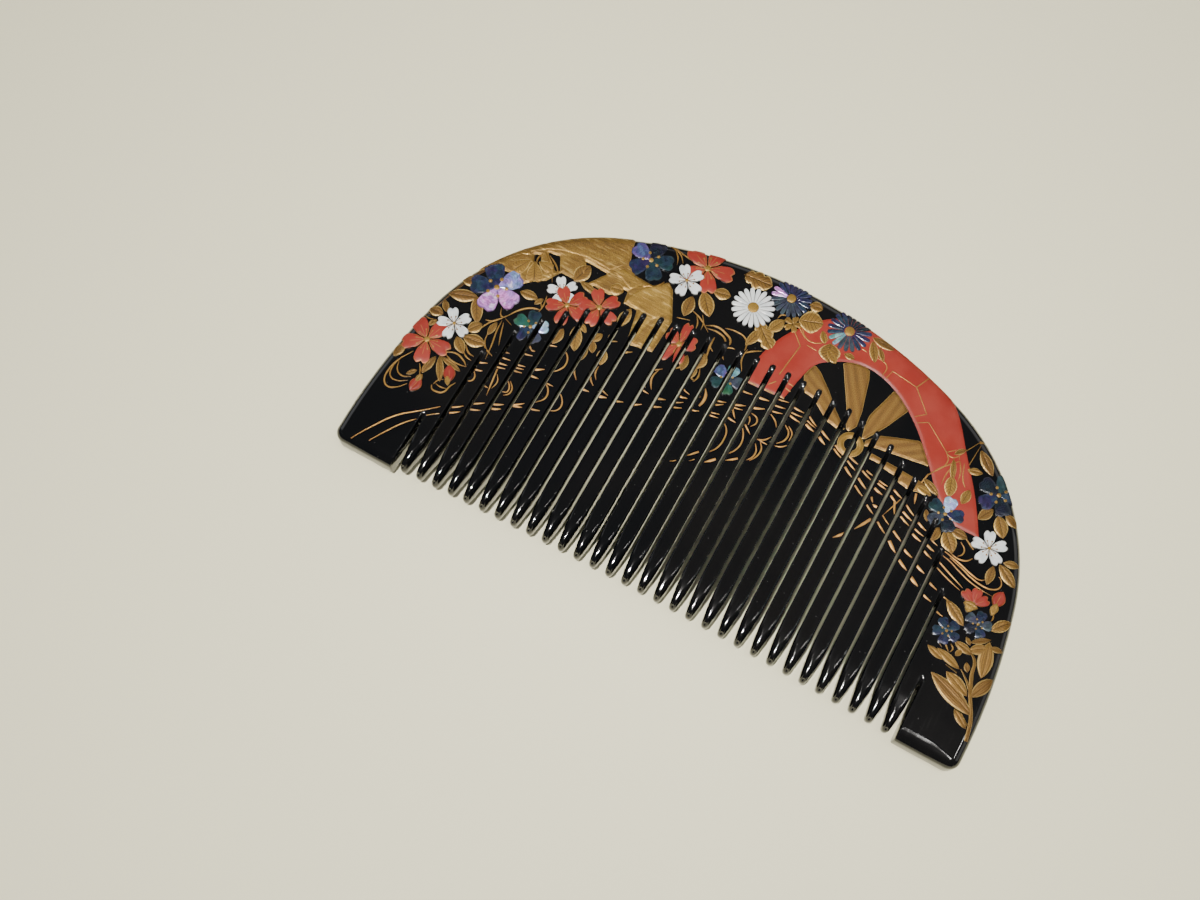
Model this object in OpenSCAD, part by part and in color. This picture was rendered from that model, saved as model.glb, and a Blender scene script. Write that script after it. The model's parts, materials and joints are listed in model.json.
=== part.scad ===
// Lacquered hair comb with raised gold, red and shell blossoms. It lies on its back, teeth towards -Y.

/* [Comb] */
// Width at the widest place, just above the foot
comb_w = 97.8; // [84:0.2:112]
// Height from the foot of the guards to the crown
comb_h = 53.6; // [47:0.2:60]
// Thickness
body_t = 4.6; // [3.8:0.1:6]
// Height above the foot at which the comb is widest
widest_y = 5.2; // [3:0.1:8]
// Rounding of the rim, front and back
edge_r = 1.3; // [0.8:0.1:1.6]
// Rounding of the two foot corners, seen from the front
corner_r = 1.6; // [1.6:0.1:2.6]
// How far the line of the tooth tips rises in the middle
foot_rise = 1.45; // [0.6:0.05:2.4]

/* [Teeth] */
// Number of teeth
tooth_count = 31; // [21:1:33]
// Distance from tooth to tooth
pitch = 2.53; // [2.3:0.01:2.7]
// The row sits this far right of the middle
row_shift = 0.33; // [-0.6:0.01:0.6]
// Width of a slot in the middle of the thickness
slot_w = 0.45; // [0.35:0.05:0.7]
// Width of a slot at the face
mouth_w = 0.8; // [0.75:0.05:1]
// Depth of the eased edge of each tooth
mouth_d = 0.8; // [0.3:0.1:1.2]
// Height above the foot that the middle slots reach
slot_reach = 40.3; // [34:0.1:42]
// The two saw cuts of a slot meet this far below its top
ridge_dip = 2.2; // [0.5:0.1:3]
// Length over which a tooth narrows to its tip
tip_l = 7; // [4:0.5:12]
// Width of a tooth tip
tip_w = 0.95; // [0.6:0.05:1.4]
// Width of the first and the last tip, which are blunter
end_tip_w = 1.3; // [0.8:0.05:1.5]
// Length over which the teeth thin out towards the tip
bevel_l = 3.4; // [2:0.1:6]
// How much each face falls away at the foot
bevel_d = 0.7; // [0.3:0.1:1.2]

/* [Relief] */
// Height of the gold leaves, wheels and water lines
gold_h = 0.2; // [0.1:0.05:0.3]
// Height of the red lacquer wheel rim
rim_h = 0.15; // [0.1:0.05:0.3]
// Height of the red blossoms
red_h = 0.3; // [0.2:0.05:0.4]
// Height of the shell blossoms
shell_h = 0.35; // [0.2:0.05:0.5]
// Height of a gold flower centre above its blossom
centre_h = 0.15; // [0.1:0.05:0.3]
// Gap left between neighbouring pieces of the relief
seam = 0.12; // [0.06:0.01:0.2]
// Width of a gold water line
line_w = 0.32; // [0.2:0.02:0.5]

/* [Blossoms] */
// Radius of a chrysanthemum
mum_r = 3.25; // [2.6:0.05:3.8]
// Petals of a chrysanthemum
mum_petals = 19; // [12:1:24]
// Radius of a white shell cherry blossom
white_r = 2.65; // [2:0.05:3.2]
// Radius of a red lacquer cherry blossom
red_r = 3.6; // [2.8:0.05:4.2]
// Radius of a blue shell cherry blossom
blue_r = 3.2; // [2.6:0.05:3.8]
// Length of a bud
bud_l = 2.4; // [1.8:0.05:3]
// Length of a middling leaf
leaf_l = 4; // [3:0.1:4.6]
// Outer radius of the gold wheel hub
hub_r = 2; // [1.6:0.05:2.4]
// Width of the broadest wheel spoke at the rim
spoke_w = 4; // [3:0.1:4.6]

/* [Hidden] */
half_w = comb_w/2;
past = 1;          // how far a cutter stands past what it cuts
rim_steps = 5;      // flats in each quarter round of the rim
flank_fn = 720;
small_fn = 48;

// Half of the outline is three arcs: crown, shoulder and side, each tangent to the next.
shoulder_share = 0.6775;   // shoulder radius, of the rise above the widest place
shoulder_y_share = 0.2586; // height of the shoulder's centre, of the same rise
side_share = 0.026;        // what the side arc leaves, of the half width
rise = comb_h - widest_y;
shoulder_r = shoulder_share*rise;
shoulder_c = [(1 - side_share)*half_w - shoulder_r, widest_y + shoulder_y_share*rise];
crown_a = 2*atan((rise*(1 - shoulder_y_share) - shoulder_r)/shoulder_c.x);
crown_r = shoulder_r + shoulder_c.x/sin(crown_a);
crown_c = [0, comb_h - crown_r];
side_left = side_share*half_w;
shoulder_a = 90 - 2*atan(side_left/(shoulder_c.y - widest_y));
side_r = shoulder_r + (shoulder_c.y - widest_y)/cos(shoulder_a);
side_c = [half_w - side_r, widest_y];

// The tips of the teeth stand on one wide arc, hollow towards the row.
foot_r = (half_w*half_w + foot_rise*foot_rise)/(2*foot_rise);
foot_c = [0, foot_rise - foot_r];
function foot_y(x) = foot_c.y + sqrt(foot_r*foot_r - x*x);

// Centre of the corner arc, corner_r inside both the side and the straight foot of the guards
corner_c = [side_c.x + sqrt(pow(side_r - corner_r, 2) - pow(widest_y - corner_r, 2)), corner_r];
side_a = 90 + asin((widest_y - corner_r)/(side_r - corner_r));

function arc(c, r, a, b, n) = [for (i = [0:n]) let (g = a + (b - a)*i/n) c + r*[sin(g), cos(g)]];
// Outline set in by d
function right_side(d) = concat(
    arc(crown_c, crown_r - d, 0, crown_a, 14),
    arc(shoulder_c, shoulder_r - d, crown_a, shoulder_a, 24),
    arc(side_c, side_r - d, shoulder_a, side_a, 8),
    arc(corner_c, corner_r - d, side_a, 180, 8));
function one_each(p) = [for (i = [1:len(p) - 1]) if (norm(p[i] - p[i - 1]) > 1e-6) p[i]];
function half_line(d) = one_each(right_side(d));
function mirrored(p) = [for (i = [len(p) - 1:-1:0]) [-p[i].x, p[i].y]];
function outline(d) = concat([[0, comb_h - d]], half_line(d), mirrored(half_line(d)));

// Teeth and slots
slot_count = tooth_count + 1;
function slot_x(i) = row_shift + (i - (slot_count - 1)/2)*pitch;
function tooth_x(i) = row_shift + (i - (tooth_count - 1)/2)*pitch;
slot_span = (slot_count - 1)/2*pitch + 0.25;   // where the curve of the slot tops would meet the foot
slot_bow = 2.8;                                // fullness of that curve
function slot_top(x) = slot_reach*pow(1 - pow(abs(x - row_shift)/slot_span, slot_bow), 1/slot_bow);
tooth_w = pitch - slot_w;
function flank_of(w) = (tip_l*tip_l + pow((tooth_w - w)/2, 2))/(tooth_w - w);
// Radius of the round tip, so that it starts where the flanks have just that half width
function tip_round(w) =
    let (r = flank_of(w), k = r - tooth_w/2)
    (tip_l - k + sqrt(pow(k - tip_l, 2) - 2*(k*k + tip_l*tip_l - r*r)))/2;

// Places on the face are in hundredths: of half the width from the middle, and of the height
// from the foot.
function spot(p) = [p.x*half_w/100, p.y*comb_h/100];

// Blossoms, from the lowest to the topmost. Columns: place, size as a share of its kind's
// radius, turn in degrees, width against height
FLOWERS = [
    [[-81.5, 58.5], 1.28, 54, 1],    // 0, blue cherry 1
    [[-45, 86.5], 1.1, 90, 1],       // 1, blue cherry 2
    [[-66, 52.5], 0.86, 100, 1],     // 2, blue cherry 3
    [[-7, 65], 0.78, 80, 1],         // 3, blue cherry 4
    [[67, 59], 0.86, 90, 1],         // 4, blue cherry 5
    [[78, 70.5], 1, 20, 1],          // 5, blue cherry 6
    [[81, 31], 0.55, 60, 1],         // 6, small blue flower 1
    [[88, 36.5], 0.56, 90, 1],       // 7, small blue flower 2
    [[-2, 95], 0.95, 0, 1],          // 8, shell chrysanthemum 1
    [[18, 94], 1.02, 0, 1],          // 9, shell chrysanthemum 2
    [[-10.5, 87.5], 1, 0, 1],        // 10, white chrysanthemum
    [[-63.5, 66.5], 0.92, 54, 1],    // 11, white cherry 2
    [[-28.5, 92], 1.17, 10, 1],      // 12, red cherry 1
    [[-60, 63], 0.92, 60, 1],        // 13, red cherry 2
    [[-51, 67], 0.92, 52, 1],        // 14, red cherry 3
    [[-91, 35.5], 1.08, -2, 1],      // 15, red cherry 4
    [[-24.5, 68], 1.05, 90, 0.55],   // 16, red cherry 5
    [[-32.5, 86], 1.04, 270, 1],     // 17, white cherry 1
    [[-86.5, 43.5], 1, 270, 1],      // 18, white cherry 3
    [[82, 56], 1, 110, 1],           // 19, white cherry 4
    [[-86.5, 23], 1, 80, 0.65],      // 20, red bud 1
    [[-79.5, 30], 1, 120, 0.65],     // 21, red bud 2
    [[84.5, 42.5], 1.5, 95, 0.9],    // 22, red bud 3, half open
    [[90.5, 45], 1, 85, 0.7]];       // 23, red bud 4
MUMS = [8, 9, 10];
BLUES = [0, 1, 2, 3, 4, 5, 6, 7];
REDS = [12, 13, 14, 15, 16];
WHITES = [11, 17, 18, 19];
BUDS = [20, 21, 22, 23];
function one_of(i, list) = len(search(i, list)) > 0;
function kind_r(i) =
    one_of(i, MUMS) ? mum_r : one_of(i, BLUES) ? blue_r : one_of(i, REDS) ? red_r
    : one_of(i, WHITES) ? white_r : bud_l/2;
function kind_h(i) = one_of(i, REDS) || one_of(i, BUDS) ? red_h : shell_h;

// Leaves. Columns: place, length and width as shares of a middling leaf's length, turn in degrees
LEFT_LEAVES = [
    [[-89.5, 52], 1.15, 0.425, 27], [[-83, 50], 1.075, 0.4, -60], [[-89.5, 56.5], 0.6, 0.35, 12],
    [[-72, 61], 0.8, 0.375, 10], [[-92, 47.5], 0.575, 0.275, -50], [[-93, 44.5], 0.6, 0.375, 5],
    [[-81, 45], 0.65, 0.375, 42], [[-78, 42], 0.9, 0.475, 6], [[-82, 39], 0.7, 0.375, -36],
    [[-75.5, 47.5], 0.7, 0.225, 95], [[-96.5, 30], 0.675, 0.35, 75], [[-80, 35], 0.925, 0.225, -12],
    [[-80.5, 32.8], 0.975, 0.2, -14], [[-86.5, 30], 0.8, 0.275, 78], [[-82.8, 29], 0.975, 0.275, -64]];
MIDDLE_LEAVES = [
    [[-28.5, 79.5], 0.85, 0.425, 98], [[-23.3, 82], 1.05, 0.55, -45], [[-21.3, 87], 0.75, 0.45, 10],
    [[-14.3, 95.5], 1.1, 0.65, 6], [[-3.5, 81.7], 1.05, 0.55, -42], [[-1.7, 86], 0.65, 0.4, 62],
    [[-5.7, 79.8], 0.75, 0.325, 75], [[-57.5, 53.7], 0.675, 0.35, 84], [[-52.9, 56], 1, 0.4, -68],
    [[-48.3, 53], 0.6, 0.225, 98], [[-42.8, 55], 0.8, 0.325, -64], [[-47.4, 59], 0.5, 0.25, 55],
    [[-16.5, 67], 0.7, 0.425, 90], [[-16.2, 63], 0.65, 0.35, 100], [[6.2, 96.7], 0.5, 0.375, 10]];
RIGHT_LEAVES = [
    [[71, 78.4], 1.025, 0.325, -42], [[69, 73.5], 0.65, 0.225, 8], [[77, 64.8], 0.6, 0.35, 60],
    [[82.3, 63.4], 0.9, 0.425, -50], [[84, 66.1], 0.575, 0.325, -30], [[72, 56], 0.6, 0.25, -5],
    [[71, 52.6], 0.8, 0.475, -50], [[66.2, 52.8], 0.575, 0.3, 82], [[89.5, 55.2], 0.575, 0.225, 12],
    [[89.8, 51.8], 0.975, 0.375, -36], [[85.3, 49.8], 0.7, 0.275, 100], [[93.8, 38.5], 0.825, 0.375, 52],
    [[80.8, 36.7], 1.05, 0.35, -38]];
BRANCH_LEAVES = [
    [[89.2, 17.2], 1.85, 0.5, -18], [[89.7, 20], 1.075, 0.325, -20], [[96, 21.5], 1, 0.35, 66],
    [[93.8, 28.5], 1.25, 0.425, -76], [[91.7, 30.4], 0.7, 0.3, 60], [[90, 32.4], 0.65, 0.175, 34],
    [[95.5, 32.6], 0.4, 0.175, 0], [[87, 29], 0.725, 0.225, -22], [[85, 24.8], 0.925, 0.225, -18],
    [[81, 24.2], 0.7, 0.2, -20], [[94.6, 12.1], 0.65, 0.25, -25]];
BRANCH_STEM = [[98.3, 9], [96.3, 13.5], [94.5, 18], [91, 24], [88.5, 28.5]];

// Water lines, each a smooth curve through its few points
WATER = [
    [[-94.5, 2], [-90.5, 8.5], [-86.3, 13.6], [-81.8, 17], [-77, 20.3], [-72, 23.1], [-67, 26.2],
     [-61.5, 28.8], [-56, 32], [-51.5, 32.4], [-47, 33.8], [-45, 36.8], [-46.8, 39.7], [-49, 40.6]],
    [[-89.6, 3], [-86, 9.3], [-82.4, 13.2], [-78.5, 16], [-72, 21], [-67, 24], [-61.5, 27.2], [-56, 30.6]],
    [[-73, 37.8], [-67, 38.6], [-61.5, 39.8], [-56, 41.6], [-52, 43.4], [-50.5, 46.6], [-53.5, 50.4],
     [-60, 50.6]],
    [[-43, 43.4], [-38.5, 44.5], [-33, 44.8], [-27.5, 46], [-22.5, 48.5], [-17, 51], [-11.5, 54],
     [-6, 55.2], [-1.5, 55.7]],
    [[-15, 76], [-9, 76.6], [-4.8, 75.6], [-5.5, 71.5], [-3.4, 68.2]],
    [[-2, 63], [3, 64.2], [9, 65.4], [15, 66.2], [22, 65], [29, 62.5], [38, 58.5], [48, 55],
     [58, 52], [68, 49.2], [80, 45.5], [88, 43.5]],
    [[0, 61], [5, 62], [12, 62.8], [20, 63.2], [29, 60.5], [38, 56.5], [48, 53], [58, 50.2],
     [68, 47.2], [78, 43.2]],
    [[10, 60.5], [16.5, 59.6], [18, 56.5], [14.5, 54], [9.5, 54.3]],
    [[3, 57], [5.5, 52], [6, 47.5], [2.5, 43.4]]];

// Gold wheel at the upper left: its whole outline, and the dark gaps between its spokes
GOLD_WHEEL = [
    [-91.5, 58], [-101, 70], [-88, 88], [-65, 98], [-53, 92.5], [-52, 88], [-50.5, 84], [-47, 80.5],
    [-40.5, 80], [-36.8, 83], [-34.5, 81.5], [-29.8, 73], [-30.5, 62.3], [-34.5, 61.8],
    [-38.6, 61], [-39.2, 64.5], [-41, 71.3], [-45.6, 71.5], [-46.2, 75], [-47.8, 75],
    [-48, 72.8], [-51, 71.6], [-56, 72], [-59, 71], [-67, 71], [-69.5, 67], [-73, 65], [-75, 63],
    [-78, 64.3], [-82, 64], [-87, 62.5], [-90.3, 59.4]];
WHEEL_GAPS = [
    [[-62.5, 77.6], [-54.4, 77], [-58.6, 71.2], [-59.6, 71.6], [-59.4, 74.3]],
    [[-73.8, 74.8], [-70, 75.4], [-67.4, 71.2], [-69, 70.8]],
    [[-77.2, 72.4], [-75.2, 73.2], [-73.4, 70.2], [-75.8, 69.8]]];

// Red wheel rim: outer edge up and over, inner edge back
RIM_OUTER = [
    [-2, 67], [-2, 74], [0, 81], [3.5, 87], [10, 94], [20, 99], [33, 101], [45, 98], [57.3, 87],
    [65, 77], [72.5, 67], [78.3, 57.4]];
RIM_INNER = [
    [70.8, 57.4], [63, 62.5], [57, 69], [49, 77], [41, 83], [33, 86.2], [26.5, 86.7], [21.5, 85.4],
    [14.5, 81.3], [12, 75.5], [10.5, 67.5]];
HUB = [34, 64.5];
// Spokes of the right wheel. Columns: outer end, width there and at the hub as shares of spoke_w
SPOKES = [
    [[14, 79], 0.7, 0.25], [[25.3, 85.8], 1, 0.22], [[41.3, 83.3], 0.9, 0.2], [[55.5, 71.5], 0.8, 0.22],
    [[54, 62.6], 0.4, 0.22]];

// A smooth curve through every point of p, n steps from point to point
function curve(p, n) = concat(
    [for (i = [0:len(p) - 2], j = [0:n - 1])
        let (a = p[max(i - 1, 0)], b = p[i], c = p[i + 1], d = p[min(i + 2, len(p) - 1)], t = j/n)
        0.5*(2*b + (c - a)*t + (2*a - 5*b + 4*c - d)*t*t + (3*b - a - 3*c + d)*t*t*t)],
    [p[len(p) - 1]]);
function spots(list) = [for (p = list) spot(p)];
function unit(v) = v/norm(v);
function heading(p, i) = unit(p[min(i + 1, len(p) - 1)] - p[max(i - 1, 0)]);
function beside(p, off) = [for (i = [0:len(p) - 1]) let (h = heading(p, i)) p[i] + off*[-h.y, h.x]];
function backwards(p) = [for (i = [len(p) - 1:-1:0]) p[i]];
function ribbon(p, w) = concat(beside(p, w/2), backwards(beside(p, -w/2)));

// Outline of a blossom in polar form: count petals, waist between them, notch in each
function petal_share(a, half, waist, notch, notch_a) =
    waist + (1 - waist)*sqrt(max(0, cos(90*a/half))) - notch*max(0, 1 - a/notch_a);
function blossom_outline(r, count, waist, notch, steps) =
    let (half = 180/count)
    [for (i = [0:count*steps - 1])
        let (g = 360*i/(count*steps), a = abs(((g + half) % (2*half)) - half))
        r*petal_share(min(a, half), half, waist, notch, half/5)*[cos(g), sin(g)]];
function lens(l, w, n) = concat(
    [for (i = [0:n]) let (s = i/n) [l*(s - 0.5), w/2*pow(sin(180*s), 0.8)]],
    [for (i = [n - 1:-1:1]) let (s = i/n) [l*(s - 0.5), -w/2*pow(sin(180*s), 0.8)]]);

// The plate

// Height above the back, and how far the outline is set in there, for each level of the rim
rim_levels = concat(
    [for (i = [0:rim_steps]) let (g = 90*i/rim_steps) [edge_r*(1 - cos(g)), edge_r*(1 - sin(g))]],
    [for (i = [rim_steps:-1:0]) let (g = 90*i/rim_steps) [body_t - edge_r*(1 - cos(g)), edge_r*(1 - sin(g))]]);

module plate() {
    n = len(outline(0));
    points = [for (v = rim_levels, p = outline(v[1])) [p.x, p.y, v[0]]];
    walls = [for (k = [0:len(rim_levels) - 2], i = [0:n - 1])
        [k*n + i, k*n + (i + 1)%n, (k + 1)*n + (i + 1)%n, (k + 1)*n + i]];
    caps = [[for (i = [n - 1:-1:0]) i], [for (i = [0:n - 1]) (len(rim_levels) - 1)*n + i]];
    polyhedron(points, concat(walls, caps), convexity = 4);
}

// Teeth

module slot(x) {
    top = slot_top(x);
    w = slot_w/2;
    m = mouth_w/2;
    intersection() {
        translate([x, top + past, 0]) rotate([90, 0, 0]) linear_extrude(top + 4*past)
            polygon([[-m, -past], [m, -past], [m, 0], [w, mouth_d], [w, body_t - mouth_d], [m, body_t],
                [m, body_t + past], [-m, body_t + past], [-m, body_t], [-w, body_t - mouth_d],
                [-w, mouth_d], [-m, 0]]);
        translate([x - m - past, 0, 0]) rotate([90, 0, 90]) linear_extrude(mouth_w + 2*past)
            polygon([[-2*past, -past], [top, -past], [top, 0], [top - ridge_dip, body_t/2], [top, body_t],
                [top, body_t + past], [-2*past, body_t + past]]);
    }
}

module tooth_outline(w) {
    r = flank_of(w);
    q = tip_round(w);
    intersection() {
        translate([-(r - tooth_w/2), tip_l]) circle(r = r, $fn = flank_fn);
        translate([r - tooth_w/2, tip_l]) circle(r = r, $fn = flank_fn);
        translate([-pitch, q]) square([2*pitch, tip_l]);
    }
    translate([0, q]) circle(r = q, $fn = small_fn);
}

// What is cut away round the tips
module tip_gaps() {
    lap = slot_w/4;
    for (i = [0:tooth_count - 1])
        translate([tooth_x(i), foot_y(tooth_x(i))]) difference() {
            translate([-pitch/2 - lap, -2*past]) square([pitch + 2*lap, tip_l + 2*past]);
            tooth_outline(i == 0 || i == tooth_count - 1 ? end_tip_w : tip_w);
        }
}

// The front falls away towards the tips, between the two guards
module tip_bevel() {
    translate([slot_x(0), 0, 0]) rotate([90, 0, 90]) linear_extrude((slot_count - 1)*pitch)
        polygon([[bevel_l, body_t], [bevel_l, body_t + past], [-past, body_t + past],
            [-past, body_t - bevel_d*(1 + past/bevel_l)]]);
}

module comb_body() {
    color([0.06, 0.06, 0.07]) seated() difference() {
        plate();
        for (i = [0:slot_count - 1]) slot(slot_x(i));
        translate([0, 0, -past]) linear_extrude(body_t + 2*past) tip_gaps();
        tip_bevel();
        translate([0, 0, body_t]) mirror([0, 0, 1]) tip_bevel();
    }
}

// The middle of the height comes to the origin
module seated() {
    translate([0, -comb_h/2, 0]) children();
}

// Relief

module slot_mouths() {
    for (i = [0:slot_count - 1])
        translate([slot_x(i) - mouth_w/2, -past]) square([mouth_w, slot_top(slot_x(i)) + past]);
}

// The face up to where it rounds over at the rim or falls away to the tips
module flat_face() {
    difference() {
        polygon(outline(edge_r));
        translate([slot_x(0), -past]) square([(slot_count - 1)*pitch, bevel_l + past]);
    }
}

// A layer of relief on the face, cut by the rim and the slots
module relief(h, tint, z = 0) {
    color(tint) seated() translate([0, 0, body_t + z]) linear_extrude(h) difference() {
        intersection() {
            children();
            flat_face();
        }
        slot_mouths();
    }
}

module flower_shape(i, grow = 0) {
    f = FLOWERS[i];
    r = kind_r(i)*f[1] + grow;
    translate(spot(f[0])) rotate(f[2])
        if (one_of(i, MUMS)) polygon(blossom_outline(r, mum_petals, 0.9, 0, 6));
        else if (one_of(i, BUDS)) polygon(lens(2*r, 2*r*f[3], 12));
        else polygon([for (p = blossom_outline(r, 5, 0.52, 0.12, 20)) [p.x, p.y*f[3]]]);
}

module flowers_above(i) {
    for (j = [i:1:len(FLOWERS) - 1]) flower_shape(j, seam);
}

module flower(i, tint) {
    relief(kind_h(i), tint) difference() {
        flower_shape(i);
        flowers_above(i + 1);
    }
}

module leaf_shapes(rows) {
    for (r = rows) translate(spot(r[0])) rotate(r[3]) polygon(lens(r[1]*leaf_l, r[2]*leaf_l, 8));
}

module water_shapes() {
    for (w = WATER) polygon(ribbon(curve(spots(w), 3), line_w));
}

module spoke_shapes() {
    for (s = SPOKES) {
        a = spot(HUB);
        b = spot(s[0]);
        e = unit(b - a);
        side = [-e.y, e.x]*spoke_w;
        near = a + hub_r*e;
        polygon([near + side*s[2]/2, near - side*s[2]/2, b - side*s[1]/2, b + side*s[1]/2]);
    }
}

module rim_shape() {
    polygon(concat(curve(spots(RIM_OUTER), 4), curve(spots(RIM_INNER), 4)));
}

module gold_wheel_shape() {
    difference() {
        polygon(spots(GOLD_WHEEL));
        for (g = WHEEL_GAPS) polygon(spots(g));
    }
}

module under_flowers(h, tint) {
    relief(h, tint) difference() {
        children();
        flowers_above(0);
    }
}

gold = [0.74, 0.6, 0.36];
coral = [0.78, 0.32, 0.26];
pearl = [0.92, 0.91, 0.87];
abalone = [0.3, 0.4, 0.55];

module gold_wheel() { under_flowers(gold_h, gold) gold_wheel_shape(); }
module red_wheel_rim() { under_flowers(rim_h, coral) rim_shape(); }
module wheel_spokes() { under_flowers(gold_h, gold) difference() { spoke_shapes(); rim_shape(); } }
module wheel_hub() {
    under_flowers(gold_h, gold) translate(spot(HUB)) difference() {
        circle(r = hub_r - seam, $fn = small_fn);
        circle(r = hub_r/2, $fn = small_fn);
    }
}

module water_lines() {
    under_flowers(gold_h, gold) difference() {
        water_shapes();
        rim_shape();
        gold_wheel_shape();
        spoke_shapes();
        translate(spot(HUB)) circle(r = hub_r, $fn = small_fn);
        for (rows = [LEFT_LEAVES, MIDDLE_LEAVES, RIGHT_LEAVES, BRANCH_LEAVES]) leaf_shapes(rows);
    }
}

module leaves(rows) {
    under_flowers(gold_h, gold) difference() {
        leaf_shapes(rows);
        rim_shape();
        gold_wheel_shape();
    }
}

module leaves_left() { leaves(LEFT_LEAVES); }
module leaves_middle() { leaves(MIDDLE_LEAVES); }
module leaves_right() { leaves(RIGHT_LEAVES); }
module branch_right() {
    under_flowers(gold_h, gold) {
        leaf_shapes(BRANCH_LEAVES);
        polygon(ribbon(curve(spots(BRANCH_STEM), 4), 2*line_w));
    }
}

module blue_cherry_1() { flower(0, abalone); }
module blue_cherry_2() { flower(1, abalone); }
module blue_cherry_3() { flower(2, abalone); }
module blue_cherry_4() { flower(3, abalone); }
module blue_cherry_5() { flower(4, abalone); }
module blue_cherry_6() { flower(5, abalone); }
module small_blue_flower_1() { flower(6, abalone); }
module small_blue_flower_2() { flower(7, abalone); }
module shell_chrysanthemum_1() { flower(8, abalone); }
module shell_chrysanthemum_2() { flower(9, abalone); }
module white_chrysanthemum() { flower(10, pearl); }
module white_cherry_1() { flower(17, pearl); }
module white_cherry_2() { flower(11, pearl); }
module white_cherry_3() { flower(18, pearl); }
module white_cherry_4() { flower(19, pearl); }
module red_cherry_1() { flower(12, coral); }
module red_cherry_2() { flower(13, coral); }
module red_cherry_3() { flower(14, coral); }
module red_cherry_4() { flower(15, coral); }
module red_cherry_5() { flower(16, coral); }
module red_bud_1() { flower(20, coral); }
module red_bud_2() { flower(21, coral); }
module red_bud_3() { flower(22, coral); }
module red_bud_4() { flower(23, coral); }

// Gold hearts of the blossoms, each on top of its own
module hearts(list, share, z) {
    relief(centre_h, gold, z) for (i = list) difference() {
        translate(spot(FLOWERS[i][0])) circle(r = share*kind_r(i)*FLOWERS[i][1], $fn = small_fn);
        flowers_above(i + 1);
    }
}

module chrysanthemum_hearts() { hearts(MUMS, 0.25, shell_h); }
module shell_cherry_hearts() { hearts(concat(BLUES, WHITES), 0.16, shell_h); }
module red_cherry_hearts() { hearts(REDS, 0.13, red_h); }

comb_body();
gold_wheel();
red_wheel_rim();
wheel_spokes();
wheel_hub();
water_lines();
leaves_left();
leaves_middle();
leaves_right();
branch_right();
blue_cherry_1();
blue_cherry_2();
blue_cherry_3();
blue_cherry_4();
blue_cherry_5();
blue_cherry_6();
small_blue_flower_1();
small_blue_flower_2();
shell_chrysanthemum_1();
shell_chrysanthemum_2();
white_chrysanthemum();
white_cherry_1();
white_cherry_2();
white_cherry_3();
white_cherry_4();
red_cherry_1();
red_cherry_2();
red_cherry_3();
red_cherry_4();
red_cherry_5();
red_bud_1();
red_bud_2();
red_bud_3();
red_bud_4();
chrysanthemum_hearts();
shell_cherry_hearts();
red_cherry_hearts();
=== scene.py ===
import json
import math

import bmesh
import bpy
import numpy as np
from mathutils import Matrix, Vector

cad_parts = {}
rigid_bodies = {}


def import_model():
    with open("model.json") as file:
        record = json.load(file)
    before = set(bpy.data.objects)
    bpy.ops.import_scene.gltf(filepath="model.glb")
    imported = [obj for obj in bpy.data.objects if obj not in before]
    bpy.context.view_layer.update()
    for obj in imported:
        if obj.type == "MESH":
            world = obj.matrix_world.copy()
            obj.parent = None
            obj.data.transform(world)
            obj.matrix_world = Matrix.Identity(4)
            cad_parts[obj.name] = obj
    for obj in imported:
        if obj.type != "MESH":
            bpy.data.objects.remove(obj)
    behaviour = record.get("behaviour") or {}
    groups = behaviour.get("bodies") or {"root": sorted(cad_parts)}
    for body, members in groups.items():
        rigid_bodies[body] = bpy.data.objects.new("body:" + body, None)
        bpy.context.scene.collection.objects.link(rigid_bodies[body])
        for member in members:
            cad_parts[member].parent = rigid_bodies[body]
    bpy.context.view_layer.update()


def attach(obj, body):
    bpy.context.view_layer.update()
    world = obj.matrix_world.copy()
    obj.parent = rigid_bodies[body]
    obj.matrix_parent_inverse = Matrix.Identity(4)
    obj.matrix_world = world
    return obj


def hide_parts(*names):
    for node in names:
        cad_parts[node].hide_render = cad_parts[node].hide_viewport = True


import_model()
scene = bpy.context.scene
mm = 0.001

# The comb's own sizes in millimetres. Places on the face are (x, y): x from the middle, y from the foot.
comb = {
    "width": 97.8, "height": 53.6, "thickness": 4.6,
    "widestY": 5.2, "edgeRadius": 1.3, "cornerRadius": 1.6, "footRise": 1.45,
    "shoulderShare": 0.6775, "shoulderYShare": 0.2586, "sideShare": 0.026,
    "teeth": 31, "pitch": 2.53, "rowShift": 0.33,
    "slotWidth": 0.45, "mouthWidth": 0.8, "mouthDepth": 0.8,
    "slotReach": 40.3, "slotBow": 2.8, "ridgeDip": 2.2,
    "tipLength": 7.0, "tipWidth": 0.95, "crownShare": 0.90, "crownLength": 4.5, "wallLength": 4.0,
    "bevelLength": 6.0, "frontTaper": 0.95, "backTaper": 0.5, "noseLength": 1.0, "noseDrop": 0.45,
    "innerCorner": 0.3, "guardLow": 2.2,
    "footEdge": 2.1,   # the guards' feet are rounded more gently than their sides
    # corner between a guard's foot and its slot: gap before it, its slant, wall height gained, top
    "cornerClear": 0.25, "cornerSlant": (0.7, 0.7), "cornerStraight": 0.2, "cornerTop": 0.7,
    "leastWall": 0.2, "tipCore": 0.8, "crownBow": 1.5, "wallBow": 1.3,
    "slotMargin": 0.25, "seam": 0.003,
}
bodySteps = {"foot": 7, "corner": 6, "arch": 10, "flank": 24, "tip": 8, "edge": 8, "tipFit": 12}

# Camera, at the photograph's angle
view = {
    "place": (15.9, -68.8, 192.45),
    "right": (0.8749, 0.4841, 0.0106),
    "up": (-0.4600, 0.8242, 0.3303),
    "back": (0.1512, -0.2939, 0.9438),
    "lens": 42.0, "sensor": 36.0, "near": 0.01, "far": 20.0,
}


def makeObject(name, data):
    thing = bpy.data.objects.new(name, data)
    scene.collection.objects.link(thing)
    return thing


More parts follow.
